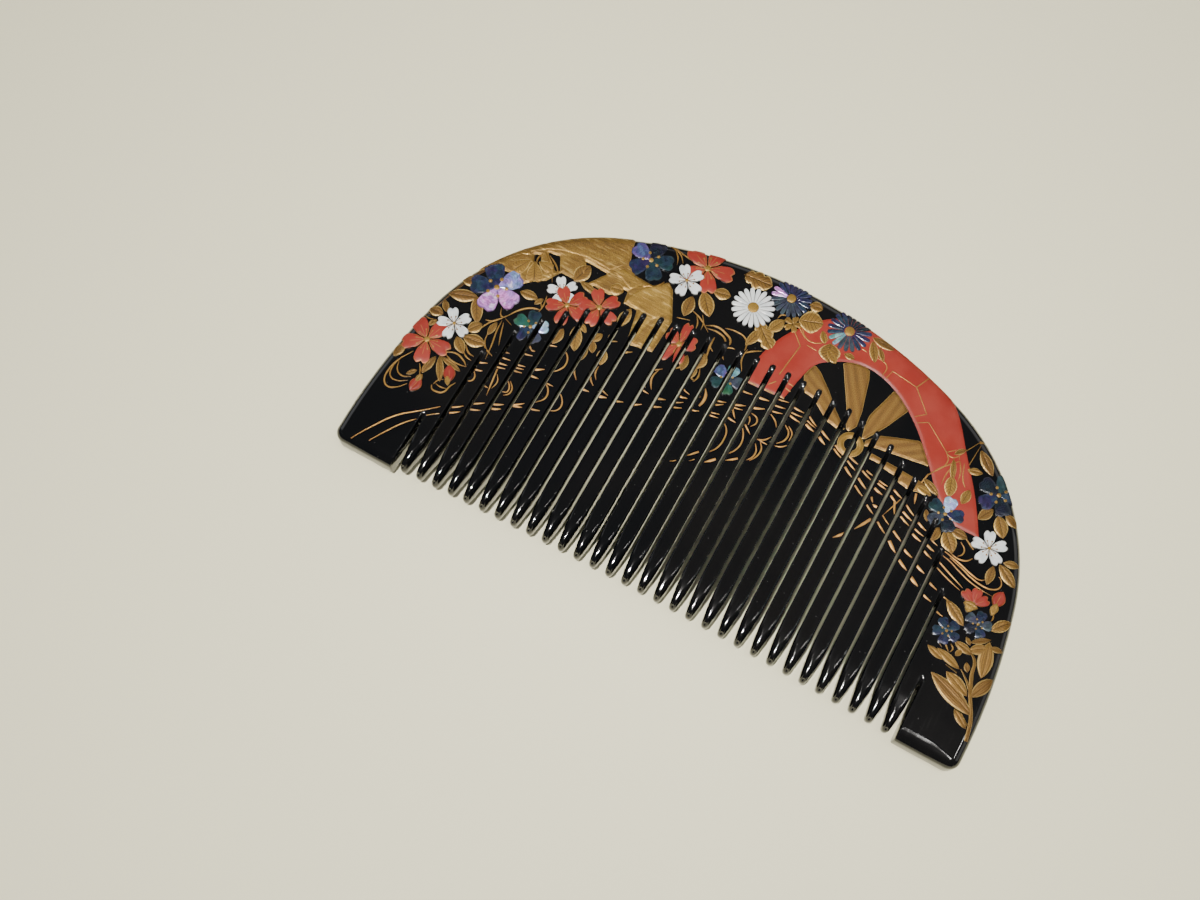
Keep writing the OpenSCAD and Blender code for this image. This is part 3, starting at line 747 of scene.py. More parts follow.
def newTree(name, inputs):
    tree = bpy.data.node_groups.new(name, "GeometryNodeTree")
    for way in ("INPUT", "OUTPUT"):
        tree.interface.new_socket(name="Geometry", in_out=way, socket_type="NodeSocketGeometry")
    for label, kind in inputs.items():
        tree.interface.new_socket(name=label, in_out="INPUT", socket_type="NodeSocket" + kind)
    t = Nodes(tree)
    return t, t.add("NodeGroupInput").outputs, t.add("NodeGroupOutput").inputs


def runTree(thing, tree, values):
    # sets the tree's inputs by their identifiers, evaluates it once and returns a plain mesh
    modifier = thing.modifiers.new(tree.name, "NODES")
    modifier.node_group = tree
    for item in tree.interface.items_tree:
        if item.item_type == "SOCKET" and item.in_out == "INPUT" and item.name in values:
            modifier[item.identifier] = values[item.name]
    thing.update_tag()
    depsgraph = bpy.context.evaluated_depsgraph_get()
    depsgraph.update()
    mesh = bpy.data.meshes.new_from_object(thing.evaluated_get(depsgraph), depsgraph=depsgraph)
    thing.modifiers.remove(modifier)
    return mesh


def objectShape(t, thing):
    return t.out("GeometryNodeObjectInfo", {"Object": thing}, "Geometry")


def instanceIndex(t):
    return t.out("GeometryNodeInputIndex")


def spinAbout(t, angle):
    return t.out("FunctionNodeAxisAngleToRotation", {"Axis": (0.0, 0.0, 1.0), "Angle": angle})


def standOn(t, points, shape, **inputs):
    return t.out("GeometryNodeInstanceOnPoints", {"Points": points, "Instance": shape, **inputs}, "Instances")


def realize(t, instances):
    return t.out("GeometryNodeRealizeInstances", {"Geometry": instances}, "Geometry")


def paint(t, geometry, finish):
    return t.out("GeometryNodeSetMaterial", {"Geometry": geometry, "Material": finish}, "Geometry")


def store(t, geometry, name, value, domain="POINT"):
    return t.out("GeometryNodeStoreNamedAttribute", {"Name": name, "Geometry": geometry, "Value": value},
                 "Geometry", data_type="FLOAT", domain=domain)


def makeToothTree():
    # stands a copy of the tooth end under each gap between two slots, on the arc of the tips
    t, entry, result = newTree("toothRow", {
        "Tooth": "Object", "Count": "Int", "Pitch": "Float", "Shift": "Float",
        "Tip arc radius": "Float", "Tip arc rise": "Float", "Half height": "Float", "Lacquer": "Material"})
    line = t.out("GeometryNodeMeshLine", {"Count": entry["Count"], "Offset": (0.0, 0.0, 0.0)}, "Mesh",
                 mode="OFFSET", count_mode="TOTAL")
    step = t.math("SUBTRACT", instanceIndex(t), t.timesPlus(entry["Count"], 0.5, -0.5))
    across = t.timesPlus(step, entry["Pitch"], entry["Shift"])
    radius = entry["Tip arc radius"]
    reach = t.math("SUBTRACT", t.times(radius, radius), t.times(across, across))
    drop = t.math("SUBTRACT", t.math("SQRT", reach), radius)
    base = t.math("SUBTRACT", entry["Tip arc rise"], entry["Half height"])
    place = t.out("ShaderNodeCombineXYZ", {"X": across, "Y": t.math("ADD", drop, base)}, "Vector")
    moved = t.out("GeometryNodeSetPosition", {"Geometry": line, "Position": place}, "Geometry")
    teeth = realize(t, standOn(t, moved, objectShape(t, entry["Tooth"])))
    join = t.add("GeometryNodeJoinGeometry", {"Geometry": entry["Geometry"]})
    t.feed(join.inputs["Geometry"], teeth)
    welded = t.out("GeometryNodeMergeByDistance", {
        "Geometry": join.outputs["Geometry"], "Distance": comb["seam"] * mm}, "Geometry")
    t.feed(result["Geometry"], paint(t, welded, entry["Lacquer"]))
    return t.tree


def makeBody():
    plate = makeObject("plate", makePlate())
    tooth = makeObject("toothEnd", makeToothEnd())
    mesh = runTree(plate, makeToothTree(), {
        "Tooth": tooth, "Count": comb["teeth"], "Pitch": comb["pitch"] * mm, "Shift": comb["rowShift"] * mm,
        "Tip arc radius": footRadius * mm, "Tip arc rise": comb["footRise"] * mm,
        "Half height": halfHeight * mm, "Lacquer": blackLacquer})
    bpy.data.objects.remove(tooth)
    bpy.data.objects.remove(plate)
    solid = bmesh.new()
    solid.from_mesh(mesh)
    bmesh.ops.recalc_face_normals(solid, faces=solid.faces)
    openEdges = sum(1 for e in solid.edges if not e.is_manifold)
    solid.to_mesh(mesh)
    solid.free()
    mesh.shade_smooth()
    mesh.name = "combLacquer"
    print("body:", len(mesh.vertices), "vertices,", openEdges, "open edges")
    return makeObject("combLacquer", mesh)


def putOn(piece, slot, *nodes):
    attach(piece, "root")
    if nodes:
        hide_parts(*nodes)


# Relief. A sheet is flat triangles on the chart, with these columns for each point.
xAt, yAt, liftAt, alongAt, acrossAt, toneAt, redAt = range(7)
columnCount = redAt + 3


def splitSheet(sheet, values):
    # cuts the triangles along the line where values pass through nothing
    points, corners = sheet
    values = np.where(np.abs(values) < relief["snap"], 0.0, values)
    sign = np.sign(values).astype(int)
    picked = sign[corners]
    crossing = (picked.min(1) < 0) & (picked.max(1) > 0)
    if not crossing.any():
        return sheet, values
    added, cuts, pieces = [], {}, []

    def cut(i, j):
        key = (min(i, j), max(i, j))
        if key not in cuts:
            share = values[i] / (values[i] - values[j])
            cuts[key] = len(points) + len(added)
            added.append(points[i] + (points[j] - points[i]) * share)
        return cuts[key]

    for a, b, c in corners[crossing].tolist():
        for turn in range(3):
            if sign[a] == 0 or (sign[b] == sign[c] != sign[a]):
                break
            a, b, c = b, c, a
        if sign[a] == 0:
            m = cut(b, c)
            pieces += [(a, b, m), (a, m, c)]
        else:
            m, n = cut(a, b), cut(a, c)
            pieces += [(a, m, n), (m, b, c), (m, c, n)]
    points = np.vstack([points, np.array(added)])
    corners = np.vstack([corners[~crossing], np.array(pieces)])
    return (points, corners), np.concatenate([values, np.zeros(len(added))])


def keepSheet(sheet, values):
    (points, corners), values = splitSheet(sheet, values)
    return points, corners[values[corners].sum(1) > 0]


relief = {
    # millimetres: how far it stays from a slot's middle and from the outline, how deep its underside
    # lies, how far in from the outline a painted shade darkens it and by how much, and the angle that stays
    # sharp
    "slotClear": mouthHalf + 0.03, "rimClear": 0.42, "under": -0.03, "shade": 3.5, "shadeTone": 0.55,
    "sharp": math.radians(48), "brushStep": 0.25,
    # where a slot's cut is looked for, to either side and above its top, and the cuts across its width
    "slotNear": 1.5, "slotOver": 0.5, "slotCuts": (-1, -0.6, 0, 0.6, 1),
    "snap": 1e-5, "sliver": 1e-9,
}


def cutSlots(sheet):
    clear = relief["slotClear"]
    for i in range(slotCount):
        x, top = slotX(i), slotTop(slotX(i))
        points = sheet[0]
        near = np.abs(points[:, xAt] - x) < relief["slotNear"]
        if not near.any() or points[near, yAt].min() > top + relief["slotOver"]:
            continue
        for share in relief["slotCuts"]:
            sheet = splitSheet(sheet, sheet[0][:, xAt] - x - share * clear)[0]
        off = np.clip(np.abs(sheet[0][:, xAt] - x), 0, clear)
        arc = top - mouthHalf + np.sqrt(clear ** 2 - off ** 2)
        (points, corners), above = splitSheet(sheet, sheet[0][:, yAt] - arc)
        middle = points[corners][:, :, xAt].mean(1) - x
        sheet = (points, corners[(np.abs(middle) > clear) | (above[corners].sum(1) > 0)])
    return sheet


def trimSheet(sheet):
    depth = rimDistance(sheet[0][:, xAt], sheet[0][:, yAt])[0]
    # painted shade: the tone darkens towards the outline, where the face rounds over its edge
    shade = relief["shadeTone"]
    sheet[0][:, toneAt] *= shade + (1 - shade) * clamp(depth / relief["shade"])
    if depth.min() < relief["rimClear"]:
        sheet = keepSheet(sheet, depth - relief["rimClear"])
    return cutSlots(sheet)


def joinSheets(sheets):
    points, corners, start = [], [], 0
    for p, c in sheets:
        points.append(p)
        corners.append(c + start)
        start += len(p)
    return np.vstack(points), np.vstack(corners)


def thickenSheet(sheet):
    # the draped sheet as a closed body, its underside just below the face
    points, corners = sheet
    used, corners = np.unique(corners, return_inverse=True)
    corners = corners.reshape(-1, 3)
    points = points[used]
    a, b, c = (points[corners[:, i], :2] for i in range(3))
    area = (b[:, 0] - a[:, 0]) * (c[:, 1] - a[:, 1]) - (b[:, 1] - a[:, 1]) * (c[:, 0] - a[:, 0])
    corners[area < 0] = corners[area < 0][:, ::-1]
    corners = corners[np.abs(area) > relief["sliver"]]
    count = len(points)
    edges = np.vstack([corners[:, [0, 1]], corners[:, [1, 2]], corners[:, [2, 0]]]).tolist()
    edges = dict.fromkeys(map(tuple, edges))   # each once, so that no wall is doubled where a petal folds
    faces = corners.tolist() + (corners[:, ::-1] + count).tolist()
    faces += [(i, i + count, j + count, j) for i, j in edges if (j, i) not in edges]
    places = np.vstack([drape(points, points[:, liftAt]), drape(points, relief["under"])])
    return places, faces, np.vstack([points, points])


def setColumn(mesh, label, values):
    layer = mesh.attributes.new(label, "FLOAT", "POINT")
    layer.data.foreach_set("value", np.asarray(values, np.float32))


def makePiece(name, sheets, finish, slot, *nodes):
    sheet = joinSheets([trimSheet(s) for s in sheets if len(s[1])])
    places, faces, columns = thickenSheet(sheet)
    mesh = meshFrom(name, places.tolist(), faces)
    for label, at in (("along", alongAt), ("across", acrossAt), ("tone", toneAt)):
        setColumn(mesh, label, columns[:, at])
    colours = np.ones((len(columns), 4), np.float32)
    colours[:, :3] = columns[:, redAt:]
    if colours[:, :3].max() > 0:
        layer = mesh.attributes.new("shellColour", "FLOAT_COLOR", "POINT")
        layer.data.foreach_set("color", colours.ravel())
    mesh.shade_smooth()
    mesh.set_sharp_from_angle(angle=relief["sharp"])
    mesh.materials.append(finish)
    putOn(makeObject(name, mesh), slot, *nodes)


def blankSheet(x, y):
    points = np.zeros((x.size, columnCount))
    points[:, xAt], points[:, yAt] = x.ravel(), y.ravel()
    i, j = np.meshgrid(np.arange(x.shape[0] - 1), np.arange(x.shape[1] - 1), indexing="ij")
    return points, (i * x.shape[1] + j).ravel(), j.ravel()


def gridSheet(rows, columns, place):
    # place(s, v) gives x, y for s from 0 to 1 along and v from -1 to 1 across
    s, v = np.meshgrid(np.linspace(0, 1, rows), np.linspace(-1, 1, columns), indexing="ij")
    points, a, j = blankSheet(*place(s, v))
    points[:, alongAt], points[:, acrossAt] = s.ravel(), v.ravel()
    b, c, d = a + 1, a + columns, a + columns + 1
    left = (j < (columns - 1) / 2)[:, None]
    first = np.where(left, np.stack([a, c, d], 1), np.stack([a, c, b], 1))
    second = np.where(left, np.stack([a, d, b], 1), np.stack([b, c, d], 1))
    return points, np.vstack([first, second])


def unitShape(name, rows, columns, place):
    # a shape that the trees below repeat, as a plain mesh with its columns kept as attributes
    points, corners = gridSheet(rows, columns, place)
    flat = np.zeros((len(points), 3))
    flat[:, :2] = points[:, :2]
    mesh = meshFrom(name, flat.tolist(), corners.tolist())
    setColumn(mesh, "along", points[:, alongAt])
    setColumn(mesh, "across", points[:, acrossAt])
    return makeObject(name, mesh)


def readSheet(mesh, numbered=None):
    # a tree's mesh as a sheet, and the number of the copy that each point is on
    count = len(mesh.vertices)
    flat = np.zeros(count * 3, np.float32)
    mesh.vertices.foreach_get("co", flat)
    points = np.zeros((count, columnCount))
    points[:, :2] = flat.reshape(-1, 3)[:, :2]
    mesh.calc_loop_triangles()
    corners = np.zeros(len(mesh.loop_triangles) * 3, np.int32)
    mesh.loop_triangles.foreach_get("vertices", corners)

    def column(label):
        values = np.zeros(count, np.float32)
        if label in mesh.attributes:
            mesh.attributes[label].data.foreach_get("value", values)
        return values

    points[:, alongAt], points[:, acrossAt] = column("along"), column("across")
    number = column(numbered) if numbered else None
    bpy.data.meshes.remove(mesh)
    return (points, corners.reshape(-1, 3)), number


def moveSheet(sheet, x, y, turn=0.0, width=1.0):
    points, corners = sheet
    points = points.copy()
    c, s = math.cos(math.radians(turn)), math.sin(math.radians(turn))
    u, v = points[:, xAt].copy(), points[:, yAt] * width
    points[:, xAt] = x + c * u - s * v
    points[:, yAt] = y + s * u + c * v
    return points, corners


def makeRingTree():
    # a ring of one petal, stamen or ray, each turned by its share of the circle
    t, entry, result = newTree("petalRing", {
        "Petal": "Object", "Count": "Int", "Radius": "Float", "Finish": "Material"})
    centre = t.out("GeometryNodePoints", {"Count": entry["Count"]})
    turn = t.math("DIVIDE", t.times(instanceIndex(t), 2 * math.pi), entry["Count"])
    ring = standOn(t, centre, objectShape(t, entry["Petal"]),
                   Rotation=spinAbout(t, turn), Scale=entry["Radius"])
    ring = realize(t, store(t, ring, "petal", instanceIndex(t), "INSTANCE"))
    t.feed(result["Geometry"], paint(t, ring, entry["Finish"]))
    return t.tree


def makeLeafTree():
    # one leaf on every point, by the point's own turn, length and width
    t, entry, result = newTree("leafSpray", {"Leaf": "Object", "Finish": "Material"})
    length, width, turn = (
        t.out("GeometryNodeInputNamedAttribute", {"Name": label}, "Attribute", data_type="FLOAT")
        for label in ("length", "width", "turn"))
    size = t.out("ShaderNodeCombineXYZ", {"X": length, "Y": width, "Z": 1.0}, "Vector")
    spray = standOn(t, entry["Geometry"], objectShape(t, entry["Leaf"]),
                    Rotation=spinAbout(t, turn), Scale=size)
    spray = realize(t, store(t, spray, "leaf", instanceIndex(t), "INSTANCE"))
    t.feed(result["Geometry"], paint(t, spray, entry["Finish"]))
    return t.tree


def makeStrokeTree():
    # a brush line along each curve, five points wide, as broad as the curve's radius says
    t, entry, result = newTree("brushLine", {"Spacing": "Float", "Width": "Float", "Finish": "Material"})
    even = t.out("GeometryNodeResampleCurve", {"Curve": entry["Geometry"], "Length": entry["Spacing"]},
                 "Curve", mode="LENGTH")
    flat = t.out("GeometryNodeSetCurveNormal", {"Curve": even}, "Curve", mode="Z_UP")
    factor = t.out("GeometryNodeSplineParameter", output="Factor")
    run = store(t, flat, "along", factor)
    line = t.out("GeometryNodeCurvePrimitiveLine", {
        "Start": (-0.5, 0.0, 0.0), "End": (0.5, 0.0, 0.0)}, "Curve")
    brush = t.out("GeometryNodeResampleCurve", {"Curve": line, "Count": 5}, "Curve", mode="COUNT")
    hairs = store(t, brush, "across", t.timesPlus(factor, 2.0, -1.0))
    width = t.times(t.out("GeometryNodeInputRadius"), entry["Width"])
    sweep = t.out("GeometryNodeCurveToMesh", {"Curve": run, "Profile Curve": hairs, "Scale": width}, "Mesh")
    t.feed(result["Geometry"], paint(t, realize(t, sweep), entry["Finish"]))
    return t.tree


ringTree = makeRingTree()
leafTree = makeLeafTree()
strokeTree = makeStrokeTree()


def growSheet(name, data, tree, values, numbered=None):
    # runs a tree on a passing object and reads the sheet it makes
    thing = makeObject(name, data)
    sheet, number = readSheet(runTree(thing, tree, values), numbered)
    bpy.data.objects.remove(thing)
    return sheet, number


def spreadTone(number):
    # a different share from 0 to 1 for each numbered copy, by steps of the golden ratio
    return (number * 0.618) % 1.0


def strokeSheet(lines, finish, width=1.0, base=0.04, height=0.07, tone=0.8):
    # lines: (share of the width at the start, at the end): rows of width in mm and points
    curve = bpy.data.curves.new("strokes", "CURVE")
    curve.dimensions = "3D"
    curve.resolution_u = 8
    for start, end, thick, *points in ((*ends, *row) for ends, rows in lines.items() for row in rows):
        spline = curve.splines.new("BEZIER")
        last = len(points) - 1
        spline.bezier_points.add(last)
        for i, (knot, place) in enumerate(zip(spline.bezier_points, points)):
            knot.co = (*place, 0.0)
            knot.handle_left_type = knot.handle_right_type = "AUTO"
            swell = min(1.0, start + (1 - start) * 3 * i / last, end + (1 - end) * 3 * (last - i) / last)
            knot.radius = thick * swell
    sheet = growSheet("strokes", curve, strokeTree, {
        "Spacing": relief["brushStep"], "Width": width, "Finish": finish})[0]
    points = sheet[0]
    points[:, liftAt] = base + height * roundOver(points[:, acrossAt])
    points[:, toneAt] = tone * (0.35 + 0.65 * np.sin(math.pi * clamp(points[:, alongAt])) ** 0.5)
    return sheet


def leafSheet(rows, leaf, finish, base=0.10, height=0.10):
    # rows: (x, y, length, width, turn); a leaf is dented along its middle
    x, y, length, width, turn = zip(*rows)
    mesh = meshFrom("leafPoints", [(*place, 0.0) for place in zip(x, y)], [])
    for label, values in (("length", length), ("width", width), ("turn", np.radians(turn))):
        setColumn(mesh, label, values)
    sheet, number = growSheet("leafPoints", mesh, leafTree, {"Leaf": leaf, "Finish": finish}, "leaf")
    points = sheet[0]
    v, s = np.abs(points[:, acrossAt]), points[:, alongAt]
    dome = roundOver(v, 4) * (0.55 + 0.45 * clamp(v / 0.35)) * clamp(np.sin(math.pi * s) * 2.5)
    points[:, liftAt] = base + number * 0.004 % 0.03 + height * dome
    points[:, toneAt] = 0.35 + 0.55 * spreadTone(number)
    return sheet


def ringSheet(petal, count, radius, x, y, turn, squash, finish, base, height, flat=0.3):
    sheet, number = growSheet("ring", bpy.data.meshes.new("ring"), ringTree, {
        "Petal": petal, "Count": count, "Radius": radius, "Finish": finish}, "petal")
    sheet = moveSheet(sheet, x, y, turn, squash)
    points = sheet[0]
    v, s = np.abs(points[:, acrossAt]), points[:, alongAt]
    dome = (flat + (1 - flat) * roundOver(v)) * roundOver(2 * s - 1, 6)
    points[:, liftAt] = base + height * np.where((v > 0.97) | (s > 0.99), 0.0, dome)
    points[:, toneAt] = 0.6 + 0.4 * spreadTone(number)
    return sheet, number


def discSheet(x, y, radius, base, height, rings=4, steps=18):
    columns = steps + 1
    points, corners = gridSheet(rings + 1, columns, lambda s, v: (
        x + radius * s * np.cos(math.pi * v), y + radius * s * np.sin(math.pi * v)))
    points[:, liftAt] = base + height * roundOver(points[:, alongAt])
    points[:, acrossAt] = points[:, alongAt] * 0.5
    points[:, toneAt] = 0.8
    # the seam and the middle are closed by giving their points one number each
    same = np.arange(len(points))
    same[:columns] = 0
    same[columns - 1::columns] = same[::columns]
    a, b, c = same[corners].T
    return points, same[corners][(a != b) & (b != c) & (a != c)]


def throughPoints(points, steps=5):
    # a smooth line through the points
    rows, last = [], len(points) - 1
    p = np.array(points, float)
    for i in range(last):
        a, b, q, r = p[max(i - 1, 0)], p[min(i + 2, last)], p[i], p[i + 1]
        for j in range(steps):
            t = j / steps
            rows.append(0.5 * (2 * q + (r - a) * t + (2 * a - 5 * q + 4 * r - b) * t * t
                               + (3 * q - a - 3 * r + b) * t ** 3))
    return np.array(rows + [p[last]])


def areaDistance(outline, x, y):
    # distance from the outline of an area, above nothing inside it
    best = np.full(x.shape, np.inf)
    inside = np.zeros(x.shape, bool)
    for (ax, ay), (bx, by) in zip(outline, np.roll(outline, -1, 0)):
        ex, ey = bx - ax, by - ay
        length = ex * ex + ey * ey
        if length < 1e-12:
            continue
        t = clamp(((x - ax) * ex + (y - ay) * ey) / length)
        best = np.minimum(best, np.hypot(x - ax - t * ex, y - ay - t * ey))
        if ay != by:
            inside ^= ((ay > y) != (by > y)) & (x < ax + (y - ay) * ex / ey)
    return np.where(inside, best, -best)


def fieldSheet(low, high, cell, field, shape):
    # fills the area where field(x, y) is above nothing; shape gives lift, along, across and tone there
    columns, rows = (int((high[i] - low[i]) / cell) + 1 for i in (0, 1))
    down, over = np.linspace(low[1], high[1], rows), np.linspace(low[0], high[0], columns)
    y, x = np.meshgrid(down, over, indexing="ij")
    points, a = blankSheet(x, y)[:2]
    d = a + columns + 1
    corners = np.vstack([np.stack([a, a + 1, d], 1), np.stack([a, d, a + columns], 1)])
    depth = field(points[:, xAt], points[:, yAt])
    corners = corners[depth[corners].max(1) > 0]
    points, corners = keepSheet((points, corners), depth)
    x, y = points[:, xAt], points[:, yAt]
    values = shape(x, y, field(x, y))
    for at, value in zip((liftAt, alongAt, acrossAt, toneAt), values):
        points[:, at] = value
    return points, corners


def softStep(value, width):
    t = clamp(value / width)
    return t * t * (3 - 2 * t)


putOn(makeBody(), "black_lacquer", "comb_body")


# Unit shapes that the trees repeat
def polar(radius, angle):
    return radius * np.cos(angle), radius * np.sin(angle)


petalShapes = {
    # in shares of the radius: where it starts, the reach of its sides and how full its end is, depth and
    # half width of its notch; half its angle in degrees, and in shares of that how much it is drawn in
    # at its foot and, from a share of its length on, at its end
    "cherryPetal": {"start": 0.05, "side": 0.66, "full": 2.2, "notch": 0.13, "notchWidth": 0.34,
                    "half": 32, "foot": 0.28, "narrow": 0.24, "from": 0.6, "bow": 1.5},
    "shellPetal": {"start": 0.04, "side": 0.70, "full": 2.4, "notch": 0.07, "notchWidth": 0.3,
                   "half": 35.2, "foot": 0.0, "narrow": 0.16, "from": 0.65, "bow": 1.5},
    "rayPetal": {"start": 0.24, "side": 0.80, "full": 2, "notch": 0.0, "notchWidth": 0.3,
                 "half": 8.8, "foot": 0.0, "narrow": 0.12, "from": 0.7, "bow": 2},
}
footLength = 0.3


def petalUnit(name, rows, columns):
    p = petalShapes[name]

    def place(s, v):
        reach = p["side"] + (1 - p["side"]) * roundOver(v, p["full"])
        reach -= p["notch"] * clamp(1 - np.abs(v) / p["notchWidth"])
        foot = 1 - p["foot"] * (1 - clamp(s / footLength))
        end = 1 - p["narrow"] * clamp((s - p["from"]) / (1 - p["from"])) ** p["bow"]
        return polar(p["start"] + (reach - p["start"]) * s, math.radians(p["half"]) * v * foot * end)

    return unitShape(name, rows, columns, place)


def lancetLeaf(s, v):
    return s - 0.5, 0.5 * v * np.sin(math.pi * s) ** 0.8


def lobedLeaf(s, v):
    # a chrysanthemum leaf: the same lens, scalloped
    lobes = 0.60 + 0.40 * np.abs(np.sin(3.0 * math.pi * s + 0.35)) ** 0.8
    return s - 0.5 + 0.05 * np.abs(v), 0.5 * v * np.sin(math.pi * s) ** 0.55 * lobes


def stamen(s, v):
    # a thread with a bead at its end
    return 0.12 + 0.36 * s, v * np.maximum(0.016 * (s < 0.75), roundOver((s - 0.86) / 0.14) * 0.055)


def bead(s, v):
    # a round dot, one to each petal
    return 0.35 + 0.07 * (2 * s - 1), 0.07 * v * np.sqrt(np.clip(1 - (2 * s - 1) ** 2, 0.02, 1))


cherryUnit = petalUnit("cherryPetal", 9, 13)
shellUnit = petalUnit("shellPetal", 9, 13)
rayUnit = petalUnit("rayPetal", 7, 7)
leafUnit = unitShape("lancetLeaf", 13, 9, lancetLeaf)
lobedUnit = unitShape("lobedLeaf", 29, 9, lobedLeaf)
stamenUnit = unitShape("stamen", 15, 5, stamen)
beadUnit = unitShape("bead", 17, 7, bead)


# Shell tones by name, and which petal has which; the pale ones are partly the shell's own colour and partly a
# painted highlight
shellTones = {
    "deepBlue": (0.010, 0.015, 0.055), "night": (0.006, 0.009, 0.020), "teal": (0.008, 0.028, 0.038),
    "green": (0.010, 0.078, 0.048), "violet": (0.045, 0.040, 0.17), "lilac": (0.14, 0.14, 0.46),
    "pink": (0.46, 0.15, 0.54), "ice": (0.26, 0.40, 0.64), "aqua": (0.08, 0.26, 0.30),
    "grey": (0.030, 0.042, 0.062), "blue": (0.006, 0.018, 0.042),
}

# Blossoms, from the lowest to the topmost
blossoms = {
    # node: kind, x, y, radius, turn, squash, lift, tones from the first petal round
    "blue_cherry_1": ("shell", -39.8, 31.3, 4.1, 54, 1, 0.24,
                      ("lilac", "deepBlue", "deepBlue", "pink", "pink")),
    "blue_cherry_2": ("shell", -22.0, 46.4, 3.5, 90, 1, 0.24,
                      ("night", "violet", "deepBlue", "teal", "teal")),
    "blue_cherry_3": ("shell", -32.3, 28.2, 2.75, 100, 1, 0.22, ("teal", "green", "deepBlue", "grey", "ice")),
    "blue_cherry_4": ("shell", -3.4, 34.9, 2.5, 80, 1, 0.22, ("aqua", "violet", "teal", "green", "grey")),
    "blue_cherry_5": ("shell", 32.7, 31.7, 2.75, 90, 1, 0.24, ("ice", "teal", "grey", "night", "deepBlue")),
    "blue_cherry_6": ("shell", 38.2, 37.9, 3.2, 20, 1, 0.22,
                      ("deepBlue", "teal", "night", "deepBlue", "night")),
    "small_blue_flower_1": ("shell", 39.7, 16.6, 2.0, 60, 1, 0.24, ("blue",)),
    "small_blue_flower_2": ("shell", 43.1, 19.5, 2.0, 90, 1, 0.24, ("blue", "grey", "night")),
    "shell_chrysanthemum_1": ("shellRays", -0.9, 51.0, 3.1, 0, 1, 0.24, ()),
    "shell_chrysanthemum_2": ("shellRays", 8.9, 50.4, 3.3, 0, 1, 0.24, ()),
    "white_chrysanthemum": ("whiteRays", -5.2, 46.9, 3.25, 5, 1, 0.28, ()),
    "white_cherry_2": ("white", -31.1, 35.6, 2.4, 54, 1, 0.20, ()),
    "red_cherry_1": ("coral", -14.0, 49.3, 4.2, 10, 1, 0.20, ()),
    "red_cherry_2": ("coral", -29.3, 33.8, 3.3, 60, 1, 0.24, ()),
    "red_cherry_3": ("coral", -25.0, 35.8, 3.3, 52, 1, 0.27, ()),
    "red_cherry_4": ("coral", -44.5, 19.1, 3.9, -2, 1, 0.24, ()),
    "red_cherry_5": ("coral", -12.0, 36.4, 3.8, 90, 0.66, 0.24, ()),
    "white_cherry_1": ("white", -15.8, 46.0, 2.75, 270, 1, 0.32, ()),
    "white_cherry_3": ("white", -42.3, 23.2, 2.65, 270, 1, 0.32, ()),
    "white_cherry_4": ("white", 40.1, 30.1, 2.65, 110, 1, 0.32, ()),
}
# the pink, violet and aqua rays are partly the shell's own colour and partly a painted highlight
rayTones = {
    # node: (from, to, tone) by degrees; what is left over takes the last tone
    "shell_chrysanthemum_1": ((160, 190, "pink"), (190, 205, "violet"), (205, 330, "grey"),
                              (0, 360, "deepBlue")),
    "shell_chrysanthemum_2": ((225, 250, "aqua"), (250, 320, "grey"), (20, 120, "night"),
                              (0, 360, "deepBlue")),
}


def paintPetals(sheet, number, node, kind, tones, turn):
    points = sheet[0]
    number = number.astype(int)
    for petal in range(number.max() + 1):
        if kind == "shell":
            tone = tones[petal % len(tones)]
        else:
            heading = (turn + 360 * petal / (number.max() + 1)) % 360
            tone = next(row[2] for row in rayTones[node] if row[0] <= heading <= row[1])
        points[number == petal, redAt:redAt + 3] = shellTones[tone]


def makeBlossom(node, row):
    kind, x, y, radius, turn, squash, lift, tones = row
    rays = kind.endswith("Rays")
    unit, count = (rayUnit, 19) if rays else (shellUnit if kind == "shell" else cherryUnit, 5)
    finish, slot = {"shell": (blueShell, "blue_shell"), "white": (whiteShell, "white_shell"),
                    "coral": (coralPetal, "coral_lacquer")}[kind.replace("Rays", "")]
    height = 0.10 if kind == "coral" else 0.06
    sheet, number = ringSheet(unit, count, radius, x, y, turn, squash, finish, lift - 0.04, height, 0.5)
    if kind.startswith("shell"):
        paintPetals(sheet, number, node, kind, tones, turn)
    makePiece(node + "_petals", [sheet], finish, slot, node)


for node, row in blossoms.items():
    makeBlossom(node, row)
print("blossoms made:", len(blossoms))


# Buds: teardrops, and one half open
def makeBud(node, x, y, length, turn, squash):
    if node == halfOpenBud:
        sheets = []
        for petal, (side, back) in enumerate(((-50, 0.0), (50, 0.0), (0, 0.1))):
            one, number = ringSheet(cherryUnit, 1, length * 0.62, 0, -length * 0.28 + back, 90 + side, 1.0,
                                    coralPetal, 0.18 + 0.03 * petal, 0.09, 0.5)
            sheets.append(moveSheet(one, x, y, turn - 90))
    else:
        sheets = [leafSheet([(x, y, length, length * squash, turn)], leafUnit, coralPetal, 0.16, 0.16)]
    makePiece(node + "_petals", sheets, coralPetal, "coral_lacquer", node)


